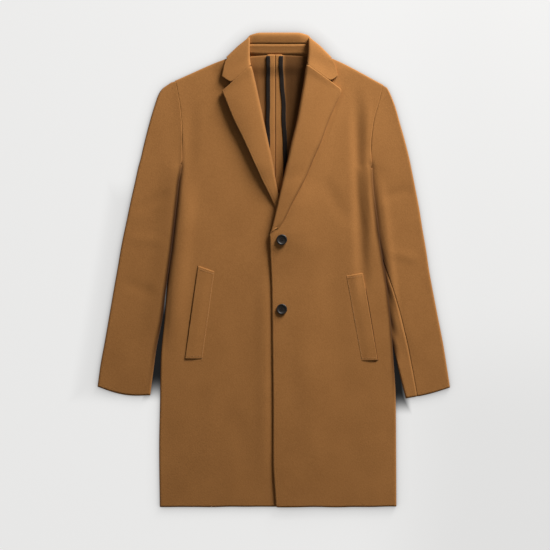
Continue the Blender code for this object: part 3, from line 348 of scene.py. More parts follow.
# Soft creases: a ridge or a valley along a line, fading at both ends.
Crease = namedtuple("Crease", "x0 y0 x1 y1 half_width height")
CREASES = {
    "left": [
        Crease(178, 405, 192, -90, 20, -5.4),
        Crease(203, 385, 210, 40, 12, 4.2),
        Crease(120, 60, 150, -330, 40, -0.8),
        Crease(60, -60, 90, -480, 36, 0.7),
        Crease(100, 200, 165, 90, 24, -0.7),
        Crease(-10, 50, 100, 262, 10, -1.7),
        Crease(55, 165, 160, 418, 10, -1.7),
    ],
    "right": [
        Crease(-170, 380, -186, 120, 24, -1.4),
        Crease(-176, 262, -222, -200, 30, 3.6),
        Crease(-20, 60, -19, -495, 22, 2.0),
        Crease(-100, 140, -70, -260, 40, -0.4),
        Crease(-120, -200, -150, -480, 34, 0.8),
        Crease(-70, -300, -60, -490, 26, -0.7),
    ],
}
BACK_CREASES = [
    Crease(-36, 460, -22, 200, 9, 1.2),
    Crease(-22, 460, -14, 200, 7, -0.5),
    Crease(46, 460, 36, 220, 9, 1.4),
    Crease(32, 450, 28, 220, 6, -0.5),
]
SLEEVE_CREASES = {
    "left": [
        Crease(224, 222, 268, -150, 13, 2.6),
        Crease(225, 150, 300, 175, 16, -0.9),
        Crease(238, 40, 318, 20, 18, 0.8),
        Crease(300, 250, 345, -60, 14, 0.7),
    ],
    "right": [
        Crease(-215, 170, -300, 120, 18, -0.9),
        Crease(-225, 60, -318, 70, 18, 0.7),
        Crease(-240, -60, -330, -20, 20, -0.6),
    ],
}
# A crease fades over one part in CREASE_ENDS of its length at each end. Between the
# creases the cloth has a faint ripple.
CREASE_ENDS = 3.5
RIM_CREASE = 0.9
RIPPLE = 0.35
RIPPLE_WIDE = 85.0
RIPPLE_LONG = 150.0

# The hem sways a little up and down below HEM_TOP.
HEM_TOP = -440.0
HEM_DEEP = 60.0
HEM_SWAY = 1.6
HEM_WAVE = 55.0
HEM_NOISE = 2

# A welt rises from its seam to the pocket's mouth and dips under the rows of stitches
# that hold its two ends.
WELT_LONG = tuple(number / 40 for number in range(41))
WELT_WIDE = (0, 0.08, 0.2, 0.35, 0.5, 0.65, 0.8, 0.92, 1)
WELT_SEAM_RISE = 0.15
WELT_MOUTH_RISE = 1.5
WELT_RISE_EASE = 1.6
WELT_DIP = 0.5
WELT_DIP_AT = 0.035
WELT_DIP_WIDE = 0.012
WELT_STITCH_IN = 6.0
WELT_STITCH_SHARES = (0.06, 0.2, 0.35, 0.5, 0.65, 0.8, 0.94)
SEAM_STITCH_IN = 1.2
STITCH_RISE = 0.3
MOUTH_STITCH_RISE = 1.6
# A dark strip of painted shadow lies at each pocket's mouth: its width, how far it tucks
# under the welt, its rise and how narrow its ends are.
MOUTH_WIDE = 1.8
MOUTH_TUCK = 0.6
MOUTH_RISE = 0.12
MOUTH_END = 0.4

# Painted shade on the cloth: in the grooves between sleeves and body, along the roll of
# the right lapel, in the valley of the left front, beside the left lapel's edge and
# inside the neck. A groove is a line of points, as wide to each side as half_width, and
# each point says how deep its painted shade is.
Groove = namedtuple("Groove", "half_width points")
PAINTED_GROOVE_SHADES = [
    Groove(7.5, (
        (-196, 308, 0.0), (-195, 262, 0.2), (-195.5, 232, 0.3), (-195.5, 224, 0.6),
        (-197, 212, 0.7), (-200.5, 192, 0.9), (-211, 95, 1.0), (-217, 43, 1.0),
        (-229, -43, 1.0), (-237, -106, 1.0), (-250, -170, 0.8), (-256, -213, 0.45),
        (-262, -262, 0.1),
    )),
    Groove(8.5, (
        (208.5, 238, 0.1), (210, 226, 0.5), (213, 196, 0.6), (218, 138, 0.8),
        (223.5, 84, 0.9), (233, 30, 1.0), (243.5, -36, 1.0), (251.5, -106, 1.0),
        (257.5, -193, 0.9), (262, -277, 0.2),
    )),
]
ROLL_PAINTED_SHADE = Groove(4.5, (
    (13, 158, 0.2), (-1, 228, 0.35), (-22, 326, 0.35), (-40, 408, 0.3),
    (-47, 433, 0.1),
))
VALLEY_PAINTED_SHADE = Groove(15.0, (
    (181, 395, 0.0), (184, 300, 0.2), (188, 150, 0.24), (190, 40, 0.16), (193, -70, 0.0),
))
LAPEL_PAINTED_SHADE = Groove(4.5, (
    (10, 87, 0.1), (22, 104, 0.35), (40, 141, 0.5), (59, 177, 0.55), (71, 201, 0.55),
    (83, 231, 0.55), (101, 272, 0.5), (118, 319, 0.4), (134, 355, 0.3),
    (142, 376, 0.1),
))
OWN_PAINTED_SHADES = {
    "front_right": [ROLL_PAINTED_SHADE],
    "facing_right": [ROLL_PAINTED_SHADE],
    "facing_left": [LAPEL_PAINTED_SHADE],
    "front_left": [VALLEY_PAINTED_SHADE],
}
# A groove's shade stays full for this share of its half width.
GROOVE_FLAT = 0.15

# How deep the painted shade inside the neck is, from below up, as pairs of height and
# shade. The seam allowances in its middle stay clear.
PAINTED_NECK_SHADES = {
    "left": ((160, 0.6), (298, 0.55), (362, 0.72), (426, 0.78), (460, 0.66)),
    "right": ((160, 0.3), (298, 0.42), (383, 0.56), (447, 0.36), (460, 0.3)),
}
NECK_CLEAR = 16.0
NECK_EASE = 8.0
NECK_SIDE = 100.0

# A button's half section: radius and height, from the middle of its face to its foot.
BUTTON_PROFILE = (
    (0.0, 2.2), (5.5, 2.2), (7.2, 2.35), (8.3, 3.1), (9.3, 3.55), (10.2, 3.6),
    (11.0, 3.2), (11.4, 2.4), (11.2, 1.4), (9.8, 0.5), (6.5, 0.0), (0.0, 0.0),
)
BUTTON_STEPS = 64
BUTTON_EDGE = 0.15
BUTTON_FACE = 2.4
HOLE_OUT = 1.9
HOLE_PLACES = [(x, y) for x in (-HOLE_OUT, HOLE_OUT) for y in (-HOLE_OUT, HOLE_OUT)]
HOLE_RADIUS = 1.1
HOLE_STEPS = 16
HOLE_DEPTH = 8.0

# Pick stitches run a little way in from the lapel's edge and the front edge.
PICK_IN = 6.5
EDGE_PICK_IN = 7.5
EDGE_PICK_TOP = 60.0
PICK_SKIP = 4

# Rows of stitches: from one to the next, and how long and thick each is.
Stitch = namedtuple("Stitch", "pitch length thick finish")
STITCH_START = 0.2
STITCHES = {
    "welt": Stitch(3.0, 2.3, 0.9, "wool_thread"),
    "pick": Stitch(5.0, 2.6, 0.7, "pick_thread"),
    "button": Stitch(4.4, 4.2, 0.9, "thread"),
}

# Finishes of woven and spun pieces. The colour runs from light to deep with the nap.
Finish = namedtuple("Finish", "name light deep twill bump_mm rough sheen")
CLOTH_FINISHES = {
    "wool": Finish(
        "Camel wool", (0.43, 0.190, 0.056, 1), (0.34, 0.146, 0.041, 1),
        0.25, 0.35, 0.9, 0.06,
    ),
    "tape": Finish(
        "Dark tape", (0.020, 0.013, 0.009, 1), (0.008, 0.005, 0.004, 1),
        0.8, 0.25, 0.8, 0.1,
    ),
    "thread": Finish(
        "Dark thread", (0.03, 0.024, 0.02, 1), (0.014, 0.011, 0.009, 1),
        0.9, 0.1, 0.6, 0.1,
    ),
    "wool_thread": Finish(
        "Camel thread", (0.60, 0.31, 0.12, 1), (0.50, 0.25, 0.09, 1),
        0.9, 0.1, 0.7, 0.2,
    ),
    "pick_thread": Finish(
        "Pick stitch thread", (0.36, 0.155, 0.045, 1), (0.28, 0.12, 0.034, 1),
        0.9, 0.1, 0.8, 0.05,
    ),
    # A dark wool for the painted shadow at the pockets' mouths.
    "painted_shadow_wool": Finish(
        "Shaded wool", (0.10, 0.042, 0.014, 1), (0.06, 0.025, 0.009, 1),
        0.25, 0.35, 0.95, 0.0,
    ),
}
# The dark colour that the painted shade blends the cloth toward.
PAINTED_SHADE_WOOL = (0.042, 0.014, 0.003, 1)

# The brushed cloth's patterns: a noise's scale, detail and roughness, then the twill.
NAP_STRETCH = (1.0, 0.35, 1.0)
FIBRE_NOISE = (900, 3, 0.65)
FLUFF_NOISE = (320, 4, 0.6)
PATCH_NOISE = (14, 3, 0.5)
TONE_PARTS = (0.5, 0.35, 0.25)
TONES = (0.38, 0.72)
TWILL_SCALE = 190
TWILL_UNEVEN = 2.5
TWILL_DETAIL = 3.0
BUMP_STRENGTH = 0.5
SHEEN_ROUGHNESS = 0.45
CLOTH_SPECULAR = 0.15
HORN_LIGHT = (0.028, 0.021, 0.017, 1)
HORN_DEEP = (0.006, 0.005, 0.005, 1)
HORN_CLOUDS = (160, 4, 0.6)
HORN_SCRATCHES = (1200, 2, 0.5)
HORN_ROUGHNESS = 0.3

# The camera, the light and the floor, in metres and watts.
CAMERA_PLACE = (0.0031, -0.0107, 3.2)
CAMERA_LENS = 98.0
SENSOR = 36.0
KEY_PLACE = (1.48, 2.44, 0.98)
KEY_COLOUR = (1.0, 0.985, 0.96)
KEY_SIZE = 1.4
KEY_POWER = 170.0
SKY = 0.13
FLOOR_SIZE = 4.0
FLOOR_TONE = 0.14
FLOOR_GLOW = 0.74
FLOOR_LIGHT = (1.0, 0.997, 0.99, 1)
FLOOR_DARK = (0.01, 0.01, 0.01, 1)
# How far from what lies on the floor the painted contact shade reaches.
FLOOR_SHADE_REACH = 0.03

# Painted shades on the floor, each along a line from its upper to its lower end, in
# metres. The first two lie between the sleeves and the body, the third is a faint painted
# shadow beside the outer side of the right sleeve, and the last two darken the right and
# the lower right a little, as a painted falloff of the light.
Shade = namedtuple("Shade", "x0 y0 x1 y1 half_width fade depth")
SHADE_CORE = 0.35
SHADE_END = 2.2
PAINTED_FLOOR_SHADES = [
    Shade(-0.230, -0.03, -0.252, -0.285, 0.032, 0.07, 0.99),
    Shade(0.247, -0.10, 0.267, -0.312, 0.031, 0.060, 0.99),
    Shade(-0.300, 0.20, -0.388, -0.290, 0.060, 0.06, 0.10),
    Shade(0.600, 0.90, 0.600, -0.90, 0.420, 0.20, 0.03),
    Shade(0.560, -0.05, 0.560, -1.00, 0.420, 0.30, 0.06),
]


def smooth(value):
    """Rises from 0 to 1 with a soft start and end."""
    value = within(value)
    return value * value * (3 - 2 * value)


def mix(first, second, share):
    """The value at a share of the way from the first to the second."""
    return first + (second - first) * share


def within(value):
    """The value, held between 0 and 1."""
    return min(1.0, max(0.0, value))


def arc(centre, up, out, radius):
    """Points round half a circle: past its up side, by its out side, to the far side."""
    points = []
    for step in range(1, FOLD_STEPS + 1):
        angle = math.pi * step / FOLD_STEPS
        way = out * math.sin(angle) + up * math.cos(angle)
        points.append(centre + way * radius)
    return points


def spread(values, splits):
    """The same values with more in between, as many in each gap as its split says."""
    made = [values[0]]
    for low, high, count in zip(values, values[1:], splits):
        made += [mix(low, high, part / count) for part in range(1, count + 1)]
    return made


def gentle_slopes(places, values):
    """Slopes for smooth curves through the values that never swing past them."""
    gaps = np.diff(places)[:, None]
    rises = np.diff(values, axis=0) / gaps
    slopes = np.zeros_like(values)
    slopes[0], slopes[-1] = rises[0], rises[-1]
    before, after = rises[:-1], rises[1:]
    first = 2 * gaps[1:] + gaps[:-1]
    second = gaps[1:] + 2 * gaps[:-1]
    same = before * after > 0
    safe_before = np.where(same, before, 1.0)
    safe_after = np.where(same, after, 1.0)
    inner = (first + second) / (first / safe_before + second / safe_after)
    slopes[1:-1] = np.where(same, inner, 0.0)
    return slopes


def curve_value(places, values, slopes, low, share):
    """A point of the smooth curve, at a share of the gap that starts at low."""
    gap = places[low + 1] - places[low]
    cube, square = share**3, share**2
    start = (2 * cube - 3 * square + 1) * values[low]
    start = start + (cube - 2 * square + share) * gap * slopes[low]
    end = (3 * square - 2 * cube) * values[low + 1]
    return start + end + (cube - square) * gap * slopes[low + 1]


class Table:
    """A table whose rows are joined by smooth curves."""

    def __init__(self, rows, places, split=None):
        self.kind = type(rows[0])
        self.values = np.array(rows, float)
        self.places = np.array(places, float)
        self.slopes = gentle_slopes(self.places, self.values)
        self.at = []
        for index in range(len(rows) - 1):
            gap = places[index + 1] - places[index]
            count = max(1, math.ceil(gap / ROW_STEP))
            if split and index in split:
                count = max(count, TWIST_SPLIT)
            self.at += [index + part / count for part in range(count)]
        self.at.append(float(len(rows) - 1))

    def row(self, position):
        """The row at a position, which counts rows and may lie between two."""
        low = min(int(position), len(self.places) - 2)
        share = position - low
        found = curve_value(self.places, self.values, self.slopes, low, share)
        return self.kind(*found.tolist())


def finer_rows(rows):
    """More rows between those of a grid of points, on smooth curves."""
    grid = np.array([[tuple(point) for point in row] for row in rows])
    gaps = np.linalg.norm(np.diff(grid, axis=0), axis=2).max(axis=1)
    places = np.concatenate([[0.0], np.cumsum(np.maximum(gaps, LEAST_GAP))])
    flat = grid.reshape(len(rows), -1)
    slopes = gentle_slopes(places, flat)
    made = []
    for low, gap in enumerate(gaps):
        count = max(1, math.ceil(gap / ROW_STEP))
        shares = [part / count for part in range(count)]
        if low == 0:
            shares.insert(1, END_STEP)
        if low == len(gaps) - 1:
            shares.append(1 - END_STEP)
        for share in shares:
            made.append(curve_value(places, flat, slopes, low, share))
    made.append(flat[-1])
    return [[Vector(point) for point in line.reshape(-1, 3)] for line in made]


def fall_lift(x, y):
    """How far the collar's fall raises the cloth that lies on it."""
    across = smooth((x - FALL_LEFT + FALL_EASE) / FALL_EASE)
    across *= smooth((FALL_RIGHT + FALL_EASE - x) / FALL_EASE)
    return FALL_LIFT * across * smooth((y - FALL_BOTTOM + FALL_EASE) / FALL_EASE)


def crease_height(x, y, creases):
    """The height that the creases and a faint ripple add at a place."""
    height = RIPPLE * noise.noise(Vector((x / RIPPLE_WIDE, y / RIPPLE_LONG, 0)))
    for crease in creases:
        start = Vector((crease.x0, crease.y0))
        line = Vector((crease.x1, crease.y1)) - start
        place = Vector((x, y)) - start
        along = place.dot(line) / line.length_squared
        aside = abs(place.cross(line)) / line.length
        if 0 < along < 1:
            ends = smooth(along * CREASE_ENDS) * smooth((1 - along) * CREASE_ENDS)
            height += crease.height * ends * smooth(1 - aside / crease.half_width)
    return height


def underside(side_low, inward):
    """The lowest layer's height: as stated at the side, on the surface further in."""
    return mix(side_low, FLOOR, smooth((inward - UNDER_START) / UNDER_EASE))


def row_edge_inset(row):
    """How far the cloth's turn lies behind the outline that the rolled layers show."""
    return (row.roll + LAYER + HALF) * row.turn / 180


class FrontShape:
    """The sections of one front, as its middle surface."""

    def __init__(self, side, rows):
        self.side = side
        twist = range(BREAK, BREAK + 3)
        self.table = Table(rows, [row.edge_y for row in rows], twist)
        self.at = self.table.at
        self.rows = [self.table.row(position) for position in self.at]
        self.creases = CREASES[side]

    def span(self, row):
        """The row's start, its direction toward the side and its length."""
        edge = Vector((row.edge_x, row.edge_y))
        side = Vector((row.side_x, row.side_y))
        return edge, (side - edge).normalized(), (side - edge).length

    def reach(self, row, point):
        """How far toward the side a point lies from the edge."""
        edge, way, _ = self.span(row)
        return max(0.0, (point.to_2d() - edge).dot(way))

    def place(self, row, reach):
        """The plan point at a distance from the edge."""
        edge, way, width = self.span(row)
        point = edge + way * reach
        point.y += row.crown * math.sin(math.pi * math.sqrt(within(reach / width)))
        if point.y < HEM_TOP:
            low = smooth((HEM_TOP - point.y) / HEM_DEEP)
            sway = noise.noise(Vector((point.x / HEM_WAVE, HEM_NOISE, 0)))
            point.y += HEM_SWAY * low * sway
        return point

    def top(self, row, reach):
        """The upper layer of the body at a distance from the edge."""
        width = self.span(row)[2]
        point = self.place(row, reach)
        near = 1 - smooth((reach - row.shelf) / SHELF_EASE[self.side])
        far = smooth(1 - (width - reach) / SIDE_EASE[self.side])
        height = mix(mix(row.rest_z, row.edge_z, near), row.side_z, far)
        height += crease_height(point.x, point.y, self.creases) * (1 - far * far)
        height += LIFT_SHARE * fall_lift(point.x, point.y)
        if row.side_low > FLOOR:
            resting = self.low(row, width - reach).z + LAYER + 2 * SEAM
            height = max(height, resting)
        return Vector((point.x, point.y, height))

    def low(self, row, inward):
        """The lower layer at a distance in from the side fold."""
        point = self.place(row, self.span(row)[2] - inward)
        return Vector((point.x, point.y, underside(row.side_low, inward)))

    def side_roll(self, row):
        """The radius of the fold at the body's side."""
        return (row.side_z - row.side_low) / 2

    def columns(self, index):
        """Distances of the body's columns from the edge."""
        row = self.rows[index]
        width = self.span(row)[2]
        above = within(self.at[index] - ARMPIT)
        end = mix(HALF + self.side_roll(row), ARMHOLE_GAP[self.side] / 2, above)
        near = [row_edge_inset(row) + reach for reach in EDGE_COLUMNS]
        far = [width - inward for inward in (*SIDE_COLUMNS, end)]
        return spread(near + [mix(near[-1], far[0], 0.5)] + far, BODY_SPLIT)

    def body(self):
        """The upper layer, from the front edge to the side or the armhole."""
        return [
            [self.top(row, reach) for reach in self.columns(index)]
            for index, row in enumerate(self.rows)
        ]

    def side_fold(self):
        """From the body's last column round the side to the seam with the back."""
        patch = []
        for index, row in enumerate(self.rows):
            if self.at[index] > ARMPIT:
                break
            radius = self.side_roll(row)
            out = self.span(row)[1].to_3d()
            start = self.top(row, self.columns(index)[-1])
            points = [start, *arc(start - UP * radius, UP, out, radius)]
            points += [self.low(row, inward) for inward in UNDER_COLUMNS]
            patch.append(points)
        return patch

    def shoulder_fold(self):
        """From the body's last row over the shoulder to the seam with the back."""
        tops = self.body()[-1]
        patch = []
        for column, start in enumerate(tops):
            before = tops[max(0, column - 1)]
            after = tops[min(len(tops) - 1, column + 1)]
            line = (after - before).to_2d().normalized()
            out = Vector((-line.y, line.x, 0))
            if out.y < 0:
                out.negate()
            radius = (start.z - FLOOR - fall_lift(start.x, start.y)) / 2
            points = [start, *arc(start - UP * radius, UP, out, radius)]
            points.append(points[-1] - out * (SHOULDER_WRAP - radius))
            patch.append(points)
        return [list(line) for line in zip(*patch)]

    def press(self, index):
        """How thick the turned layers show: pressed flat at the break, full above it."""
        above = smooth((self.at[index] - BREAK) / PRESS_ROWS)
        return mix(PRESSED, 1.0, above**PRESS_POWER)

    def turned(self, index):
        """The roll and the lapel of one row, as pairs of a point and its outer side."""
        row = self.rows[index]
        out = -self.span(row)[1].to_3d()
        start = self.top(row, row_edge_inset(row))
        radius = row.roll * self.press(index) if row.turn else 0.0
        pairs = [(start, -UP)]
        for step in range(1, FOLD_STEPS + 1):
            angle = math.radians(row.turn) * step / FOLD_STEPS
            swing = out * math.sin(angle) - UP * math.cos(angle)
            pairs.append((start + (swing + UP) * radius, swing))
        last, swing = pairs[-1]
        return pairs + self.lapel_pairs(index, last, swing, out)

    def lapel_pairs(self, index, last, swing, out):
        """The lapel of one row, from the end of its roll to its outer edge."""
        row = self.rows[index]
        press = self.press(index)
        lying = row.turn == 180
        if lying:
            tip = Vector((row.lapel_x, row.lapel_y, 0))
            tip.z = self.top(row, self.reach(row, tip)).z + LAYER * press
            tip.z += row.lapel_lift
            line = tip - last
            flat = Vector((line.x, line.y, 0))
            swing = (UP * flat.length - flat.normalized() * line.z).normalized()
        else:
            turn = math.radians(row.turn)
            width = math.hypot(row.lapel_x - row.edge_x, row.lapel_y - row.edge_y)
            line = (out * math.cos(turn) + UP * math.sin(turn)) * width
        belly = LAPEL_BELLY * line.length if lying else 0.0
        pairs = []
        for step in range(1, LAPEL_STEPS + 1):
            share = step / LAPEL_STEPS
            point = last + line * share + UP * belly * math.sin(math.pi * share)
            if lying:
                body = self.top(row, self.reach(row, point)).z
                point.z = max(point.z, body + (LAYER + SEAM) * press)
            pairs.append((point, swing))
        return pairs

    def lapel(self):
        """The turned-back layer of the front, from the break to the gorge."""
        return [
            [point for point, _ in self.turned(index)] for index in self.lapel_rows()
        ]

    def lapel_rows(self):
        """Which rows the lapel spans."""
        return [index for index, at in enumerate(self.at) if BREAK <= at <= GORGE]

    def facing_patches(self):
        """The facing: inside the body, round the roll and over the lapel."""
        inside = []
        for index, row in enumerate(self.rows):
            if self.at[index] > GORGE:
                break
            reaches = self.columns(index)[:FACING_COLUMNS]
            inside.append([self.top(row, reach) - UP * LAYER for reach in reaches])
        over = []
        for index in self.lapel_rows():
            at = self.at[index] - BREAK
            gap = TWIST_GAP * smooth(at) * smooth(TWIST_ROWS - at)
            line = []
            for step, (point, normal) in enumerate(self.turned(index)):
                away = LAYER * self.press(index) + gap * min(1.0, step / 2)
                line.append(point + normal * away)
            over.append(line)
        return [inside, over]


BackSection = namedtuple(
    "BackSection", "centre_y middle_x middle_y out_x out_y side_x side_low"
)


def back_sections(sign, shape, table):
    """The back's rows, with the places where they meet the front's seam."""
    fronts = [shape.table.row(place.front_row) for place in table]
    outs = []
    for place, front in zip(table, fronts):
        inward = SIDE_WRAP + 2 * SEAM if place.front_row <= ARMPIT else SEAM / 2
        outs.append(shape.place(front, shape.span(front)[2] - inward))
    lean_x, lean_y = SHOULDER_LEAN
    outs[-1] += Vector((-sign * lean_x, -lean_y)) * (SHOULDER_WRAP + 2)
    outs[-2] = (outs[-3] + outs[-1]) / 2
    sections = []
    for place, front, out in zip(table, fronts, outs):
        resting = front.side_low if place.front_row <= ARMPIT else FLOOR
        sections.append(
            BackSection(*place[:3], out.x, out.y, front.side_x, resting)
        )
    return Table(sections, [section.centre_y for section in sections])


def back_line(section, start):
    """One row of the back, from the centre seam through the middle to the side."""
    middle = Vector((section.middle_x, section.middle_y))
    out = Vector((section.out_x, section.out_y))
    flat = [mix(start, middle, share) for share in BACK_SHARES]
    flat += [mix(middle, out, share) for share in BACK_SHARES[1:]]
    points = []
    for spot in flat:
        height = underside(section.side_low, abs(section.side_x - spot.x))
        height += fall_lift(spot.x, spot.y)
        height += max(0.0, crease_height(spot.x, spot.y, BACK_CREASES))
        points.append(Vector((spot.x, spot.y, height)))
    return points


def allowance_line(side, sign, start):
    """One row of the allowance, turned back from the centre seam and pressed open."""
    way = Vector((-sign, 0, 0))
    line = [start, *arc(start + UP * LAYER / 2, -UP, way, LAYER / 2)]
    top = line[-1].z
    edge_x = allowance_edge(side, start.y)
    for share in ALLOWANCE_SHARES:
        line.append(Vector((mix(start.x, edge_x, share), start.y, top)))
    return line


def back_piece(name, side, shape, table):
    """One half of the back, flat on the surface, with its allowance at the centre."""
    sign = 1 if side == "left" else -1
    seam_x = CENTRE_BACK + sign * THREAD_GAP / 2
    turn = HALF + LAYER / 2
    sheet = back_sections(sign, shape, table)
    rows = []
    allowance = []
    for section in [sheet.row(position) for position in sheet.at]:
        y = section.centre_y
        opened = smooth((y - ALLOWANCE_START) / ALLOWANCE_EASE + 1)
        rows.append(back_line(section, Vector((seam_x + sign * turn * opened, y))))
        if y > ALLOWANCE_START:
            allowance.append(allowance_line(side, sign, rows[-1][0]))
    cloth(name, [rows, allowance])


def allowance_edge(side, y):
    """Where the allowance of the centre back ends, at a height along the back."""
    heights = [place.y for place in ALLOWANCES]
    edge = float(np.interp(y, heights, [getattr(row, side) for row in ALLOWANCES]))
    sway = noise.noise(Vector((TAPE_NOISE[side], y / TAPE_WAVE, 0)))
    return edge + TAPE_SWAY * sway


def seam_tape(name, side):
    """Dark tape on the edge of an allowance, turned down over its cut edge."""
    sign = 1 if side == "left" else -1
    above = FLOOR + LAYER + HALF + SEAM + TAPE_CLOTH / 2
    rows = []
    for y in np.arange(TAPE_START, TAPE_END, TAPE_STEP):
        sway = noise.noise(Vector((sign * WIDTH_NOISE, y / WIDTH_WAVE, 0)))
        width = TAPE_WIDTH + WIDTH_SWAY * sway
        edge = allowance_edge(side, y) + sign * (SEAM + TAPE_CLOTH / 2)
        height = above + fall_lift(edge, y)
        line = [
            Vector((edge - sign * width * share, y, height)) for share in TAPE_SHARES
        ]
        line.append(Vector((edge, y, height - CLOTH)))
        rows.append(line)
    cloth(name, [rows], TAPE_CLOTH)


class SleeveShape:
    """The sections of one sleeve, pressed flat."""

    def __init__(self, side, rows):
        self.side = side
        self.table = Table(rows, [-(row.in_y + row.out_y) / 2 for row in rows])
        self.at = self.table.at
        self.rows = [self.table.row(position) for position in self.at]
        self.creases = SLEEVE_CREASES[side]

    def span(self, row):
        """The row's inner end, its direction outward and its length."""
        inner = Vector((row.in_x, row.in_y))
        outer = Vector((row.out_x, row.out_y))
        return inner, (outer - inner).normalized(), (outer - inner).length

    def bow(self, index, share):
        """The cuff's edge curves a little, less so in the rows above it."""
        fade = CUFF_FADE ** (self.at[-1] - self.at[index])
        return -CUFF_BOW[self.side] * math.sin(math.pi * share) * fade

    def place(self, index, reach, height):
        """The point of a row at a reach from its inner end, at a height."""
        inner, way, width = self.span(self.rows[index])
        point = inner + way * reach
        return Vector((point.x, point.y + self.bow(index, reach / width), height))

    def top(self, index, reach):
        """The upper layer of a row at a reach from its inner end."""
        row = self.rows[index]
        width = self.span(row)[2]
        height = mix(row.in_z, row.out_z, smooth(reach / min(SLEEVE_EASE, width)))
        sag = SLEEVE_SAG * math.sin(math.pi * reach / width)
        point = self.place(index, reach, height - sag * min(1, width / SAG_WIDTH))
        inside = smooth(reach / SLEEVE_RIM) * smooth((width - reach) / SLEEVE_RIM)
        point.z += crease_height(point.x, point.y, self.creases) * inside
        return point

    def low(self, index, reach):
        """The lower layer of a row at a reach from its inner end."""
        far = smooth((reach - SLEEVE_LOW_START) / SLEEVE_LOW_EASE)
        height = mix(self.rows[index].in_low, FLOOR, far)
        return self.place(index, reach, height)

    def outer_end(self, row):
        """How far in from the outline the outer fold starts."""
        return HALF + (row.out_z - FLOOR) / 2

    def inner_end(self, row):
        """How far in from the outline the inner fold starts."""
        return HALF + (row.in_z - row.in_low) / 2

    def fold(self, start, end, out):
        """From one point round half a circle to the point below it."""
        centre = (start + end) / 2
        return [start, *arc(centre, UP, out, (start.z - end.z) / 2)[:-1], end]

    def tuck_end(self, index):
        """Where the top sleeve ends on the underside, from the inner side."""
        row = self.rows[index]
        width = self.span(row)[2]
        return max(SEAM, width - self.outer_end(row) - row.tuck)

    def outer_fold(self, index):
        """From the top layer round the outer edge to the seam underneath."""
        row = self.rows[index]
        _, way, width = self.span(row)
        reach = width - self.outer_end(row)
        last = self.tuck_end(index)
        start = self.top(index, reach)
        start.z = row.out_z
        end = self.place(index, reach, FLOOR)
        under = [self.low(index, mix(reach, last, share)) for share in (0.5, 1)]
        return self.fold(start, end, way.to_3d()) + under

    def inner_fold(self, index, last):
        """From the top layer round the inner edge to a reach underneath."""
        row = self.rows[index]
        way = self.span(row)[1]
        reach = self.inner_end(row)
        start = self.top(index, reach)
        start.z = row.in_z
        end = self.place(index, reach, row.in_low)
        under = [self.low(index, mix(reach, last, share)) for share in (0.5, 1)]
        return self.fold(start, end, -way.to_3d()) + under

    def top_layer(self, index, start, closed=False):
        """The top layer from a reach to the outer fold."""
        row = self.rows[index]
        end = self.span(row)[2] - self.outer_end(row)
        points = [self.top(index, mix(start, end, share)) for share in SLEEVE_SHARES]
        if closed:
            points[0].z = row.in_z
        points[-1].z = row.out_z
        return points

    def under_layer(self, index, start):
        """The under sleeve from a reach to its seam with the top sleeve."""
        end = self.tuck_end(index) - SEAM
        return [self.low(index, mix(start, end, share)) for share in UNDER_SHARES]


def right_sleeve():
    """Both seams of this sleeve lie underneath."""
    shape = SleeveShape("right", RIGHT_SLEEVE)
    layer, inner, under, outer = [], [], [], []
    for index, (at, row) in enumerate(zip(shape.at, shape.rows)):
        tube = at >= SLEEVE_ARMPIT - 1
        start = shape.inner_end(row) if tube else ARMHOLE_GAP["right"]
        layer.append(shape.top_layer(index, start, tube))
        outer.append(shape.outer_fold(index))
        if tube:
            inner.append(shape.inner_fold(index, SLEEVE_WRAP))
        if at >= UNDER_SLEEVE_START:
            start = SLEEVE_WRAP + SEAM if tube else SEAM
            under.append(shape.under_layer(index, start))
    cloth("top_sleeve_right", [layer, outer, inner])
    cloth("under_sleeve_right", [under])


def left_sleeve():
    """The forearm seam of this sleeve lies on top, so the under sleeve shows."""
    shape = SleeveShape("left", LEFT_SLEEVE)
    layer, outer, bottom, strip = [], [], [], []
    for index, (at, row) in enumerate(zip(shape.at, shape.rows)):
        tube = at >= SLEEVE_ARMPIT - 1
        layer.append(shape.top_layer(index, row.seam_at + THREAD_GAP))
        outer.append(shape.outer_fold(index))
        if at >= UNDER_SLEEVE_START:
            bottom.append(shape.under_layer(index, UNDER_TURN if tube else SEAM))
        if tube:
            reach = shape.inner_end(row)
            seam = [
                shape.top(index, mix(row.seam_at, reach, share))
                for share in FOREARM_SHARES
            ]
            strip.append(seam + shape.inner_fold(index, UNDER_TURN))
    cloth("top_sleeve_left", [layer, outer])
    cloth("under_sleeve_left", [bottom, strip])


def along(points, share):
    """The point at a share of a broken line's length."""
    lengths = [(b - a).length for a, b in zip(points, points[1:])]
    left = share * sum(lengths)
    for start, end, length in zip(points, points[1:], lengths):
        if left <= length:
            return start.lerp(end, left / length)
        left -= length
    return points[-1].copy()


def collar_section(fall, side_up, roll, inner_width, seam_z):
    """Fall, roll, inner band and stand of one row. The fall runs roll to outer edge."""
    up = UP * side_up
    way = (fall[1] - fall[0]).to_2d().normalized().to_3d()
    turn = arc(fall[0] - up * roll, up, -way, roll)
    base = turn[-1]

    def inner(reach):
        """A point of the inner side at a reach from the end of the roll."""
        point = base + way * reach
        point.z = mix(base.z, seam_z, smooth(reach / inner_width))
        return point

    band = min(BAND_WIDTH, inner_width)
    strip = [inner(band * share) for share in (0.5, 1.0)]
    stand = []
    if inner_width > BAND_WIDTH + STAND_LEAST:
        first = BAND_WIDTH + BAND_GAP
        stand = [inner(mix(first, inner_width, share)) for share in (0, 0.5, 1)]
    under = [point - up * (LAYER + FALL_GAP) for point in fall[1:]]
    return {"upper": fall[::-1] + turn + strip, "stand": stand, "under": under}


def collar_row(row, side_up):
    """The section of one row of the collar's tables."""
    start = Vector((row.roll_x, row.roll_y, row.roll_z))
    end = Vector((row.outer_x, row.outer_y, row.outer_z))
    fall = [start.lerp(end, share) for share in FALL_SHARES]
    return collar_section(fall, side_up, row.roll, row.inner_width, row.seam_z)


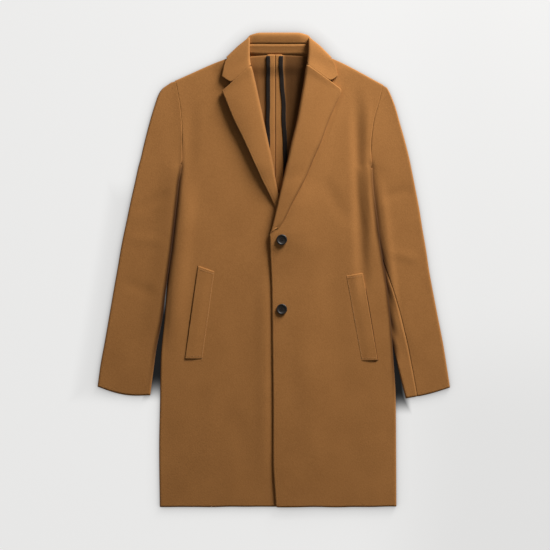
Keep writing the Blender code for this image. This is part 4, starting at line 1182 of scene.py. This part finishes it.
def gorge_row(side, shape):
    """The collar's end: along the gorge seam to the notch, then out to its tip."""
    pairs = shape.turned(shape.at.index(float(GORGE)))[FOLD_STEPS:]
    seam = [point + normal * LAYER for point, normal in pairs]
    share = (seam[0].x - NOTCH_X[side]) / (seam[0].x - seam[-1].x)
    line = (seam[-1] - seam[0]).to_2d().normalized()
    up = Vector((abs(line.y), abs(line.x), 0)) * GORGE_GAP
    up.x *= -1 if line.x * line.y > 0 else 1
    fall = [
        along(seam, share * step / NOTCH_STEP) + up for step in range(NOTCH_STEP + 1)
    ]
    tip = Vector(COLLAR_TIPS[side])
    notch = fall[-1]
    fall += [notch.lerp(tip, share) for share in TIP_SHARES]
    row = shape.table.row(GORGE)
    lift = LIFT_SHARE * fall_lift(row.edge_x, row.edge_y)
    seam_z = row.edge_z - LAYER + lift - SEAM
    return collar_section(fall, 1, row.roll + LAYER, GORGE_BAND, seam_z)


def wrapped(top, bottom, out, roll_end):
    """Rows that carry each point of one row round to the same column of another."""
    made = []
    for step in range(1, FOLD_STEPS + 1):
        angle = math.pi * step / (FOLD_STEPS + 1)
        line = []
        for high, low in zip(top, bottom):
            away = (high - roll_end).to_2d().length
            bulge = mix(ROLL_END_TURN, TOP_TURN, smooth(away / TURN_EASE))
            way = out * math.sin(angle) * bulge + UP * math.cos(angle)
            line.append((high + low) / 2 + way * (high.z - low.z) / 2)
        made.append(line)
    return made


def collar(fronts):
    """Upper collar, under collar and stand, as one strip round the neck."""
    right = [gorge_row("right", fronts["right"])]
    right += [collar_row(row, 1) for row in RIGHT_LEAF]
    back = [collar_row(row, -1) for row in BACK_FALL]
    left = [collar_row(row, 1) for row in LEFT_LEAF]
    left.append(gorge_row("left", fronts["left"]))
    ends = {
        side: Vector((row.roll_x, row.roll_y, row.roll_z))
        for side, row in (("right", RIGHT_LEAF[-1]), ("left", LEFT_LEAF[0]))
    }
    outs = {side: Vector(way) for side, way in TURN_OUT.items()}
    names = {"upper": "upper_collar", "under": "under_collar", "stand": "collar_stand"}
    for part, name in names.items():
        rows = [section[part] for section in right]
        rows += wrapped(rows[-1], back[0][part], outs["right"], ends["right"])
        rows += [section[part] for section in back]
        first = left[0][part]
        rows += wrapped(first, back[-1][part], outs["left"], ends["left"])[::-1]
        rows += [section[part] for section in left]
        cloth(name, [finer_rows([row for row in rows if row])])


def group_nodes(name, inputs, outputs):
    """A shader node group with named inputs and outputs."""
    group = bpy.data.node_groups.new(name, "ShaderNodeTree")
    for label, kind, value in inputs:
        socket = group.interface.new_socket(label, in_out="INPUT", socket_type=kind)
        socket.default_value = value
    for label, kind in outputs:
        group.interface.new_socket(label, in_out="OUTPUT", socket_type=kind)
    start = group.nodes.new("NodeGroupInput")
    end = group.nodes.new("NodeGroupOutput")
    return group, start, end


def add_node(tree, kind, **values):
    """A node of a kind, with its own values set."""
    node = tree.nodes.new(kind)
    for label, value in values.items():
        setattr(node, label, value)
    return node


def noise_node(tree, place, scale, detail, rough):
    """A noise pattern at a place."""
    node = add_node(tree, "ShaderNodeTexNoise")
    tree.links.new(place, node.inputs["Vector"])
    for label, value in (("Scale", scale), ("Detail", detail), ("Roughness", rough)):
        node.inputs[label].default_value = value
    return node.outputs["Fac"]


def blend_node(tree, share, first, second):
    """A colour between two others. Each is a colour or a socket."""
    node = add_node(tree, "ShaderNodeMix", data_type="RGBA")
    tree.links.new(share, node.inputs["Factor"])
    for label, value in (("A", first), ("B", second)):
        if isinstance(value, tuple):
            node.inputs[label].default_value = value
        else:
            tree.links.new(value, node.inputs[label])
    return node.outputs["Result"]


def math_node(tree, operation, first, second):
    """A sum or the like of two values. Each is a number or a socket."""
    node = add_node(tree, "ShaderNodeMath", operation=operation)
    for socket, value in zip(node.inputs, (first, second)):
        if isinstance(value, (int, float)):
            socket.default_value = value
        else:
            tree.links.new(value, socket)
    return node.outputs[0]


def soft_step(tree, value, low, high):
    """0 below low, 1 above high, with a soft rise between."""
    step = add_node(tree, "ShaderNodeMapRange", interpolation_type="SMOOTHSTEP")
    tree.links.new(value, step.inputs["Value"])
    step.inputs["From Min"].default_value = low
    step.inputs["From Max"].default_value = high
    return step.outputs["Result"]


def twill_node(tree, place):
    """Slanting bands, a little uneven, for the weave."""
    twill = add_node(
        tree, "ShaderNodeTexWave", wave_type="BANDS", bands_direction="DIAGONAL"
    )
    twill.inputs["Scale"].default_value = TWILL_SCALE
    twill.inputs["Distortion"].default_value = TWILL_UNEVEN
    twill.inputs["Detail Scale"].default_value = TWILL_DETAIL
    tree.links.new(place, twill.inputs["Vector"])
    return twill.outputs["Fac"]


def brushed_cloth_group():
    """Nap, fine twill and soft patches of a brushed wool, from a place on the cloth."""
    group, start, end = group_nodes(
        "Brushed cloth",
        [
            ("Place", "NodeSocketVector", (0, 0, 0)),
            ("Colour", "NodeSocketColor", (0.3, 0.15, 0.05, 1)),
            ("Shade", "NodeSocketColor", (0.2, 0.1, 0.03, 1)),
            ("Twill", "NodeSocketFloat", 0.3),
        ],
        [("Colour", "NodeSocketColor"), ("Height", "NodeSocketFloat")],
    )
    place = start.outputs["Place"]
    stretch = add_node(group, "ShaderNodeMapping")
    stretch.inputs["Scale"].default_value = NAP_STRETCH
    group.links.new(place, stretch.inputs["Vector"])
    fibre = noise_node(group, stretch.outputs["Vector"], *FIBRE_NOISE)
    fluff = noise_node(group, place, *FLUFF_NOISE)
    patch = noise_node(group, place, *PATCH_NOISE)
    ribs = math_node(
        group, "MULTIPLY", twill_node(group, place), start.outputs["Twill"]
    )
    height = math_node(group, "ADD", math_node(group, "ADD", fibre, fluff), ribs)
    group.links.new(height, end.inputs["Height"])
    tone = 0.0
    for pattern, part in zip((fluff, patch, fibre), TONE_PARTS):
        tone = math_node(group, "ADD", math_node(group, "MULTIPLY", pattern, part), tone)
    ramp = add_node(group, "ShaderNodeMapRange")
    group.links.new(tone, ramp.inputs["Value"])
    ramp.inputs["From Min"].default_value, ramp.inputs["From Max"].default_value = TONES
    share = ramp.outputs["Result"]
    blend = blend_node(group, share, start.outputs["Shade"], start.outputs["Colour"])
    group.links.new(blend, end.inputs["Colour"])
    return group


def new_finish(name, roughness):
    """A new material, its nodes and its main shader."""
    finish = bpy.data.materials.new(name)
    finish.use_nodes = True
    shader = finish.node_tree.nodes["Principled BSDF"]
    shader.inputs["Roughness"].default_value = roughness
    return finish, finish.node_tree, shader


def cloth_finish(values, group):
    """A woven or spun finish, with painted shade where its piece's attribute says so."""
    finish, tree, shader = new_finish(values.name, values.rough)
    place = add_node(tree, "ShaderNodeTexCoord").outputs["Object"]
    face = add_node(tree, "ShaderNodeGroup", node_tree=group)
    tree.links.new(place, face.inputs["Place"])
    face.inputs["Colour"].default_value = values.light
    face.inputs["Shade"].default_value = values.deep
    face.inputs["Twill"].default_value = values.twill
    # Painted shade: the attribute darkens the colour, only where the cloth lies more than
    # a millimetre above the floor.
    painted_shade = add_node(tree, "ShaderNodeAttribute", attribute_name="painted_shade")
    height = add_node(tree, "ShaderNodeSeparateXYZ")
    tree.links.new(place, height.inputs[0])
    above = math_node(tree, "GREATER_THAN", height.outputs["Z"], HALF * MM)
    deep = math_node(tree, "MULTIPLY", painted_shade.outputs["Fac"], above)
    colour = blend_node(tree, deep, face.outputs["Colour"], PAINTED_SHADE_WOOL)
    tree.links.new(colour, shader.inputs["Base Color"])
    bump = add_node(tree, "ShaderNodeBump")
    bump.inputs["Strength"].default_value = BUMP_STRENGTH
    bump.inputs["Distance"].default_value = values.bump_mm * MM
    tree.links.new(face.outputs["Height"], bump.inputs["Height"])
    tree.links.new(bump.outputs["Normal"], shader.inputs["Normal"])
    shader.inputs["Sheen Weight"].default_value = values.sheen
    shader.inputs["Sheen Roughness"].default_value = SHEEN_ROUGHNESS
    shader.inputs["Specular IOR Level"].default_value = CLOTH_SPECULAR
    return finish


def horn_finish():
    """Dark brown horn with faint cloudy streaks and a soft gloss."""
    finish, tree, shader = new_finish("Dark horn", HORN_ROUGHNESS)
    place = add_node(tree, "ShaderNodeTexCoord").outputs["Object"]
    clouds = noise_node(tree, place, *HORN_CLOUDS)
    colour = blend_node(tree, clouds, HORN_DEEP, HORN_LIGHT)
    tree.links.new(colour, shader.inputs["Base Color"])
    scratches = noise_node(tree, place, *HORN_SCRATCHES)
    rough = math_node(tree, "MULTIPLY", scratches, HORN_ROUGHNESS)
    rough = math_node(tree, "ADD", rough, HORN_ROUGHNESS)
    tree.links.new(rough, shader.inputs["Roughness"])
    return finish


def floor_shade(tree, x, y, shade):
    """How much light one painted shade leaves at a place on the floor, as a socket."""
    lean = (shade.x1 - shade.x0) / (shade.y1 - shade.y0)
    middle = math_node(tree, "MULTIPLY", y, lean)
    middle = math_node(tree, "ADD", middle, shade.x0 - lean * shade.y0)
    aside = math_node(tree, "SUBTRACT", x, middle)
    aside = math_node(tree, "ABSOLUTE", aside, 0.0)
    lit = soft_step(tree, aside, shade.half_width * SHADE_CORE, shade.half_width)
    below = math_node(tree, "MULTIPLY", y, -1.0)
    past = soft_step(tree, below, -shade.y1 - shade.fade, -shade.y1)
    past = math_node(tree, "POWER", past, SHADE_END)
    before = soft_step(tree, y, shade.y0 - shade.fade, shade.y0)
    lit = math_node(tree, "MAXIMUM", lit, math_node(tree, "MAXIMUM", past, before))
    dimmed = math_node(tree, "MULTIPLY", lit, shade.depth)
    return math_node(tree, "ADD", dimmed, 1 - shade.depth)


def floor_finish():
    """A pale surface that glows evenly, with a painted shade that darkens its glow close
    to what lies on it.
    """
    finish, tree, shader = new_finish("Pale floor", 0.9)
    shader.inputs["Specular IOR Level"].default_value = 0.0
    near = add_node(tree, "ShaderNodeAmbientOcclusion", samples=16)
    near.inputs["Distance"].default_value = FLOOR_SHADE_REACH
    near.inputs["Color"].default_value = FLOOR_LIGHT
    place = add_node(tree, "ShaderNodeSeparateXYZ")
    spot = add_node(tree, "ShaderNodeTexCoord").outputs["Object"]
    tree.links.new(spot, place.inputs[0])
    # The painted floor shades dim both the floor's colour and its glow.
    light = 1.0
    for shade in PAINTED_FLOOR_SHADES:
        left = floor_shade(tree, place.outputs["X"], place.outputs["Y"], shade)
        light = math_node(tree, "MULTIPLY", left, light)
    ground = math_node(tree, "MULTIPLY", light, FLOOR_TONE)
    tree.links.new(ground, shader.inputs["Base Color"])
    glow = blend_node(tree, light, FLOOR_DARK, near.outputs["Color"])
    tree.links.new(glow, shader.inputs["Emission Color"])
    shader.inputs["Emission Strength"].default_value = FLOOR_GLOW
    return finish


def painted_groove_shade(x, y, grooves):
    """How deep the painted shade of the grooves is at a plan point, from 0 to 1."""
    deepest = 0.0
    spot = Vector((x, y))
    for groove in grooves:
        for (x0, y0, first), (x1, y1, last) in zip(groove.points, groove.points[1:]):
            start = Vector((x0, y0))
            line = Vector((x1, y1)) - start
            share = within((spot - start).dot(line) / line.length_squared)
            aside = (start + line * share - spot).length / groove.half_width
            shade = mix(first, last, share) * smooth(1 + GROOVE_FLAT - aside)
            deepest = max(deepest, shade)
    return deepest


def painted_neck_shade(side, x, y):
    """How deep the painted shade on the inside of the back is at a place in the neck,
    from 0 to 1.
    """
    heights, shades = zip(*PAINTED_NECK_SHADES[side])
    aside = abs(x - CENTRE_BACK)
    if not heights[0] < y < heights[-1] or aside > NECK_SIDE:
        return 0.0
    clear = smooth((aside - NECK_CLEAR) / NECK_EASE)
    return clear * float(np.interp(y, heights, shades))


def add_painted_shades(mesh, node):
    """Writes how deep the painted shade is at each point of the cloth, for its finish to
    read.
    """
    layer = mesh.verts.layers.float.new("painted_shade")
    grooves = PAINTED_GROOVE_SHADES + OWN_PAINTED_SHADES.get(node, [])
    for corner in mesh.verts:
        x, y = corner.co.x / MM, corner.co.y / MM
        if node.startswith("back"):
            corner[layer] = painted_neck_shade(node.split("_")[1], x, y)
        elif not node.startswith("welt"):
            corner[layer] = painted_groove_shade(x, y, grooves)


def add_patch(mesh, rows):
    """Adds a grid through rows of points, all of the same length."""
    made = bmesh.ops.create_grid(
        mesh, x_segments=len(rows[0]) - 1, y_segments=len(rows) - 1, size=1.0
    )
    points = [point for row in rows for point in row]
    for corner, point in zip(made["verts"], points):
        corner.co = point * MM


def new_piece(name, mesh, finish):
    """An object that rides with the coat and takes a finish."""
    data = bpy.data.meshes.new(name)
    mesh.to_mesh(data)
    mesh.free()
    data.shade_smooth()
    data.materials.append(FINISHES[finish])
    piece = bpy.data.objects.new(name, data)
    bpy.context.scene.collection.objects.link(piece)
    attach(piece, "root")
    return piece


def cloth(node, patches, thickness=CLOTH):
    """One piece of cloth: its patches are joined along the points that they share."""
    mesh = bmesh.new()
    for rows in patches:
        add_patch(mesh, rows)
    bmesh.ops.remove_doubles(mesh, verts=mesh.verts, dist=MERGE)
    bmesh.ops.recalc_face_normals(mesh, faces=mesh.faces)
    area = sum(face.calc_area() for face in mesh.faces)
    add_painted_shades(mesh, node)
    slot = "tape" if node.startswith("seam_tape") else "wool"
    piece = new_piece(node + "_cloth", mesh, slot)
    wall = piece.modifiers.new("Wall", "SOLIDIFY")
    wall.thickness = thickness * MM
    wall.offset = 0.0
    wall.edge_crease_inner = RIM_CREASE
    wall.edge_crease_outer = RIM_CREASE
    soft = piece.modifiers.new("Soft edges", "SUBSURF")
    soft.levels = 1
    soft.render_levels = 1
    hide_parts(node)


def front_height(shape, x, y):
    """The height of a front's upper layer at a plan point below its break."""
    rows = shape.rows
    for low, high in zip(rows, rows[1:]):
        if y <= high.edge_y:
            share = max(0.0, (y - low.edge_y) / (high.edge_y - low.edge_y))
            heights = [shape.top(row, abs(x - row.edge_x)).z for row in (low, high)]
            return mix(heights[0], heights[1], share)
    return rows[-1].rest_z


def welt(node, side, shape):
    """A pocket welt, made from the front's own heights and moved out."""
    seam_top, seam_bottom, mouth_top, mouth_bottom = map(Vector, WELTS[side])
    rows = []
    for down in WELT_LONG:
        first = seam_top.lerp(seam_bottom, down)
        last = mouth_top.lerp(mouth_bottom, down)
        line = []
        for share in WELT_WIDE:
            spot = first.lerp(last, share)
            height = front_height(shape, spot.x, spot.y)
            rise = smooth(share * WELT_RISE_EASE)
            height += mix(WELT_SEAM_RISE, WELT_MOUTH_RISE, rise)
            for end in (down, 1 - down):
                height -= WELT_DIP * smooth(1 - abs(end - WELT_DIP_AT) / WELT_DIP_WIDE)
            line.append(Vector((spot.x, spot.y, height)))
        rows.append(line)
    cloth(node, [rows])


def laid(shape, spot, above):
    """A point at a height above the front's middle surface."""
    return Vector((*spot, front_height(shape, spot.x, spot.y) + above))


def pocket_mouth(side, shape):
    """A dark strip of painted shadow beside a welt's open edge, at the pocket's mouth."""
    seam_top, _, mouth_top, mouth_bottom = map(Vector, WELTS[side])
    out = (mouth_top - seam_top).normalized()
    rows = []
    for down in WELT_LONG:
        edge = mouth_top.lerp(mouth_bottom, down)
        swell = MOUTH_WIDE * mix(MOUTH_END, 1, math.sin(math.pi * down))
        reaches = (-MOUTH_TUCK, 0.0, swell / 2, swell)
        rows.append(
            [laid(shape, edge + out * reach, HALF + MOUTH_RISE) for reach in reaches]
        )
    mesh = bmesh.new()
    add_patch(mesh, rows)
    bmesh.ops.recalc_face_normals(mesh, faces=mesh.faces)
    new_piece("pocket_mouth_" + side, mesh, "painted_shadow_wool")


def welt_stitches(side, shape):
    """The stitches across a welt's two ends and along its seam."""
    seam_top, seam_bottom, mouth_top, mouth_bottom = map(Vector, WELTS[side])
    out = (mouth_top - seam_top).normalized()
    inset = WELT_STITCH_IN / (seam_bottom - seam_top).length
    lines = []
    for down in (inset, 1 - inset):
        first = seam_top.lerp(seam_bottom, down)
        last = mouth_top.lerp(mouth_bottom, down)
        line = []
        for share in WELT_STITCH_SHARES:
            rise = smooth(share * WELT_RISE_EASE)
            above = HALF + mix(STITCH_RISE, MOUTH_STITCH_RISE, rise)
            line.append(laid(shape, first.lerp(last, share), above))
        lines.append(line)
    seam = [seam_top.lerp(seam_bottom, down) + out * SEAM_STITCH_IN for down in WELT_LONG]
    lines.append([laid(shape, spot, HALF + STITCH_RISE) for spot in seam])
    stitches("welt_stitches_" + side, lines, STITCHES["welt"])


def edge_stitches(side, shape):
    """Pick stitches a little way in from the lapel's edge and the front edge."""
    line = []
    for row in shape.facing_patches()[1][PICK_SKIP:]:
        tip = row[-1]
        way = (row[-2] - tip).normalized()
        line.append(tip + way * PICK_IN + UP * HALF)
    lines = [line]
    if side == "left":
        rows = [row for row in shape.rows if row.edge_y < EDGE_PICK_TOP]
        lines.append([shape.top(row, EDGE_PICK_IN) + UP * HALF for row in rows])
    stitches("pick_stitches_" + side, lines, STITCHES["pick"])


def stitches(name, lines, kind):
    """Small stitches along lines of points, each sunk a little into the cloth."""
    mesh = bmesh.new()
    for line in lines:
        total = sum((b - a).length for a, b in zip(line, line[1:]))
        count = max(1, int(total / kind.pitch))
        for number in range(count):
            start = number + STITCH_START
            first = along(line, start / count)
            last = along(line, (start + kind.length / kind.pitch) / count)
            way = last - first
            turn = UP.rotation_difference(way).to_matrix().to_4x4()
            made = bmesh.ops.create_icosphere(mesh, subdivisions=1, radius=0.5 * MM)
            size = Vector((kind.thick, kind.thick, way.length))
            bmesh.ops.scale(mesh, vec=size, verts=made["verts"])
            bmesh.ops.transform(mesh, matrix=turn, verts=made["verts"])
            middle = (first + last) / 2 * MM
            bmesh.ops.translate(mesh, vec=middle, verts=made["verts"])
    new_piece(name, mesh, kind.finish)


def spun(mesh, profile, place, steps):
    """Turns a profile of radius and height once round an upright line."""
    corners = [mesh.verts.new(Vector((x, 0, z)) * MM) for x, z in profile]
    edges = [mesh.edges.new(pair) for pair in zip(corners, corners[1:])]
    bmesh.ops.spin(
        mesh, geom=corners + edges, cent=(0, 0, 0), axis=(0, 0, 1),
        angle=math.tau, steps=steps, use_merge=True,
    )
    bmesh.ops.remove_doubles(mesh, verts=mesh.verts, dist=MERGE)
    bmesh.ops.recalc_face_normals(mesh, faces=mesh.faces)
    bmesh.ops.translate(mesh, vec=place * MM, verts=mesh.verts)


def drill_holes(piece, base):
    """Cuts four straight holes through a button."""
    holes = bmesh.new()
    for x, y in HOLE_PLACES:
        made = bmesh.ops.create_cone(
            holes, cap_ends=True, segments=HOLE_STEPS, radius1=HOLE_RADIUS * MM,
            radius2=HOLE_RADIUS * MM, depth=HOLE_DEPTH * MM,
        )
        spot = (base + Vector((x, y, 0))) * MM
        bmesh.ops.translate(holes, vec=spot, verts=made["verts"])
    data = bpy.data.meshes.new("holes")
    holes.to_mesh(data)
    holes.free()
    tool = bpy.data.objects.new("holes", data)
    bpy.context.scene.collection.objects.link(tool)
    cut = piece.modifiers.new("Holes", "BOOLEAN")
    cut.operation = "DIFFERENCE"
    cut.object = tool
    graph = bpy.context.evaluated_depsgraph_get()
    drilled = bpy.data.meshes.new_from_object(piece.evaluated_get(graph))
    piece.modifiers.clear()
    piece.data = drilled
    bpy.data.objects.remove(tool)


def button(label, place, shape):
    """A four-hole horn button with a raised rim, sewn on with dark thread."""
    base = laid(shape, Vector(place), HALF + SHANK_RISE)
    mesh = bmesh.new()
    spun(mesh, BUTTON_PROFILE, base, BUTTON_STEPS)
    piece = new_piece(label + "_button_horn", mesh, "horn")
    drill_holes(piece, base)
    round_edge = piece.modifiers.new("Round edges", "BEVEL")
    round_edge.width = BUTTON_EDGE * MM
    round_edge.segments = 2
    round_edge.angle_limit = math.radians(50)
    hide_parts("button_" + label)
    lines = [
        [base + Vector((x, y, BUTTON_FACE)) for y in (HOLE_OUT, -HOLE_OUT)]
        for x in (-HOLE_OUT, HOLE_OUT)
    ]
    stitches(label + "_button_thread", lines, STITCHES["button"])
    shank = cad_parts["shank_" + label].data
    shank.materials.clear()
    shank.materials.append(FINISHES["thread"])


def add_floor():
    """The pale surface that the coat lies on."""
    mesh = bmesh.new()
    bmesh.ops.create_grid(mesh, x_segments=1, y_segments=1, size=FLOOR_SIZE)
    data = bpy.data.meshes.new("floor")
    mesh.to_mesh(data)
    mesh.free()
    floor = bpy.data.objects.new("floor", data)
    data.materials.append(floor_finish())
    bpy.context.scene.collection.objects.link(floor)


def add_light():
    """One soft lamp, high on the collar's side, that looks at the coat's middle."""
    lamp = bpy.data.lights.new("Key", "AREA")
    lamp.shape = "DISK"
    lamp.size = KEY_SIZE
    lamp.energy = KEY_POWER
    lamp.color = KEY_COLOUR
    light = bpy.data.objects.new("Key", lamp)
    light.location = KEY_PLACE
    light.rotation_euler = (-Vector(KEY_PLACE)).to_track_quat("-Z", "Y").to_euler()
    bpy.context.scene.collection.objects.link(light)


def add_camera():
    """The camera, straight above the coat."""
    lens = bpy.data.cameras.new("Camera")
    lens.sensor_width = SENSOR
    lens.lens = CAMERA_LENS
    lens.clip_end = 20
    camera = bpy.data.objects.new("Camera", lens)
    camera.location = CAMERA_PLACE
    bpy.context.scene.collection.objects.link(camera)
    bpy.context.scene.camera = camera


def set_world():
    """Faint light from all round."""
    world = bpy.data.worlds.new("Studio")
    world.use_nodes = True
    sky = world.node_tree.nodes["Background"]
    sky.inputs["Color"].default_value = (1, 1, 1, 1)
    sky.inputs["Strength"].default_value = SKY
    bpy.context.scene.world = world
    bpy.context.scene.view_settings.view_transform = "Standard"


brushed = brushed_cloth_group()
FINISHES = {
    label: cloth_finish(values, brushed) for label, values in CLOTH_FINISHES.items()
}
FINISHES["horn"] = horn_finish()
fronts = {
    "left": FrontShape("left", LEFT_FRONT),
    "right": FrontShape("right", RIGHT_FRONT),
}
for side, shape in fronts.items():
    parts = [shape.body(), shape.side_fold(), shape.shoulder_fold(), shape.lapel()]
    cloth("front_" + side, parts)
    cloth("facing_" + side, shape.facing_patches())
    welt("welt_" + side, side, shape)
    pocket_mouth(side, shape)
    welt_stitches(side, shape)
    edge_stitches(side, shape)
    seam_tape("seam_tape_" + side, side)
back_piece("back_left", "left", fronts["left"], LEFT_BACK)
back_piece("back_right", "right", fronts["right"], RIGHT_BACK)
left_sleeve()
right_sleeve()
collar(fronts)
for label, place in BUTTONS.items():
    button(label, place, fronts["left"])

add_floor()
add_light()
set_world()
add_camera()

bpy.context.view_layer.update()
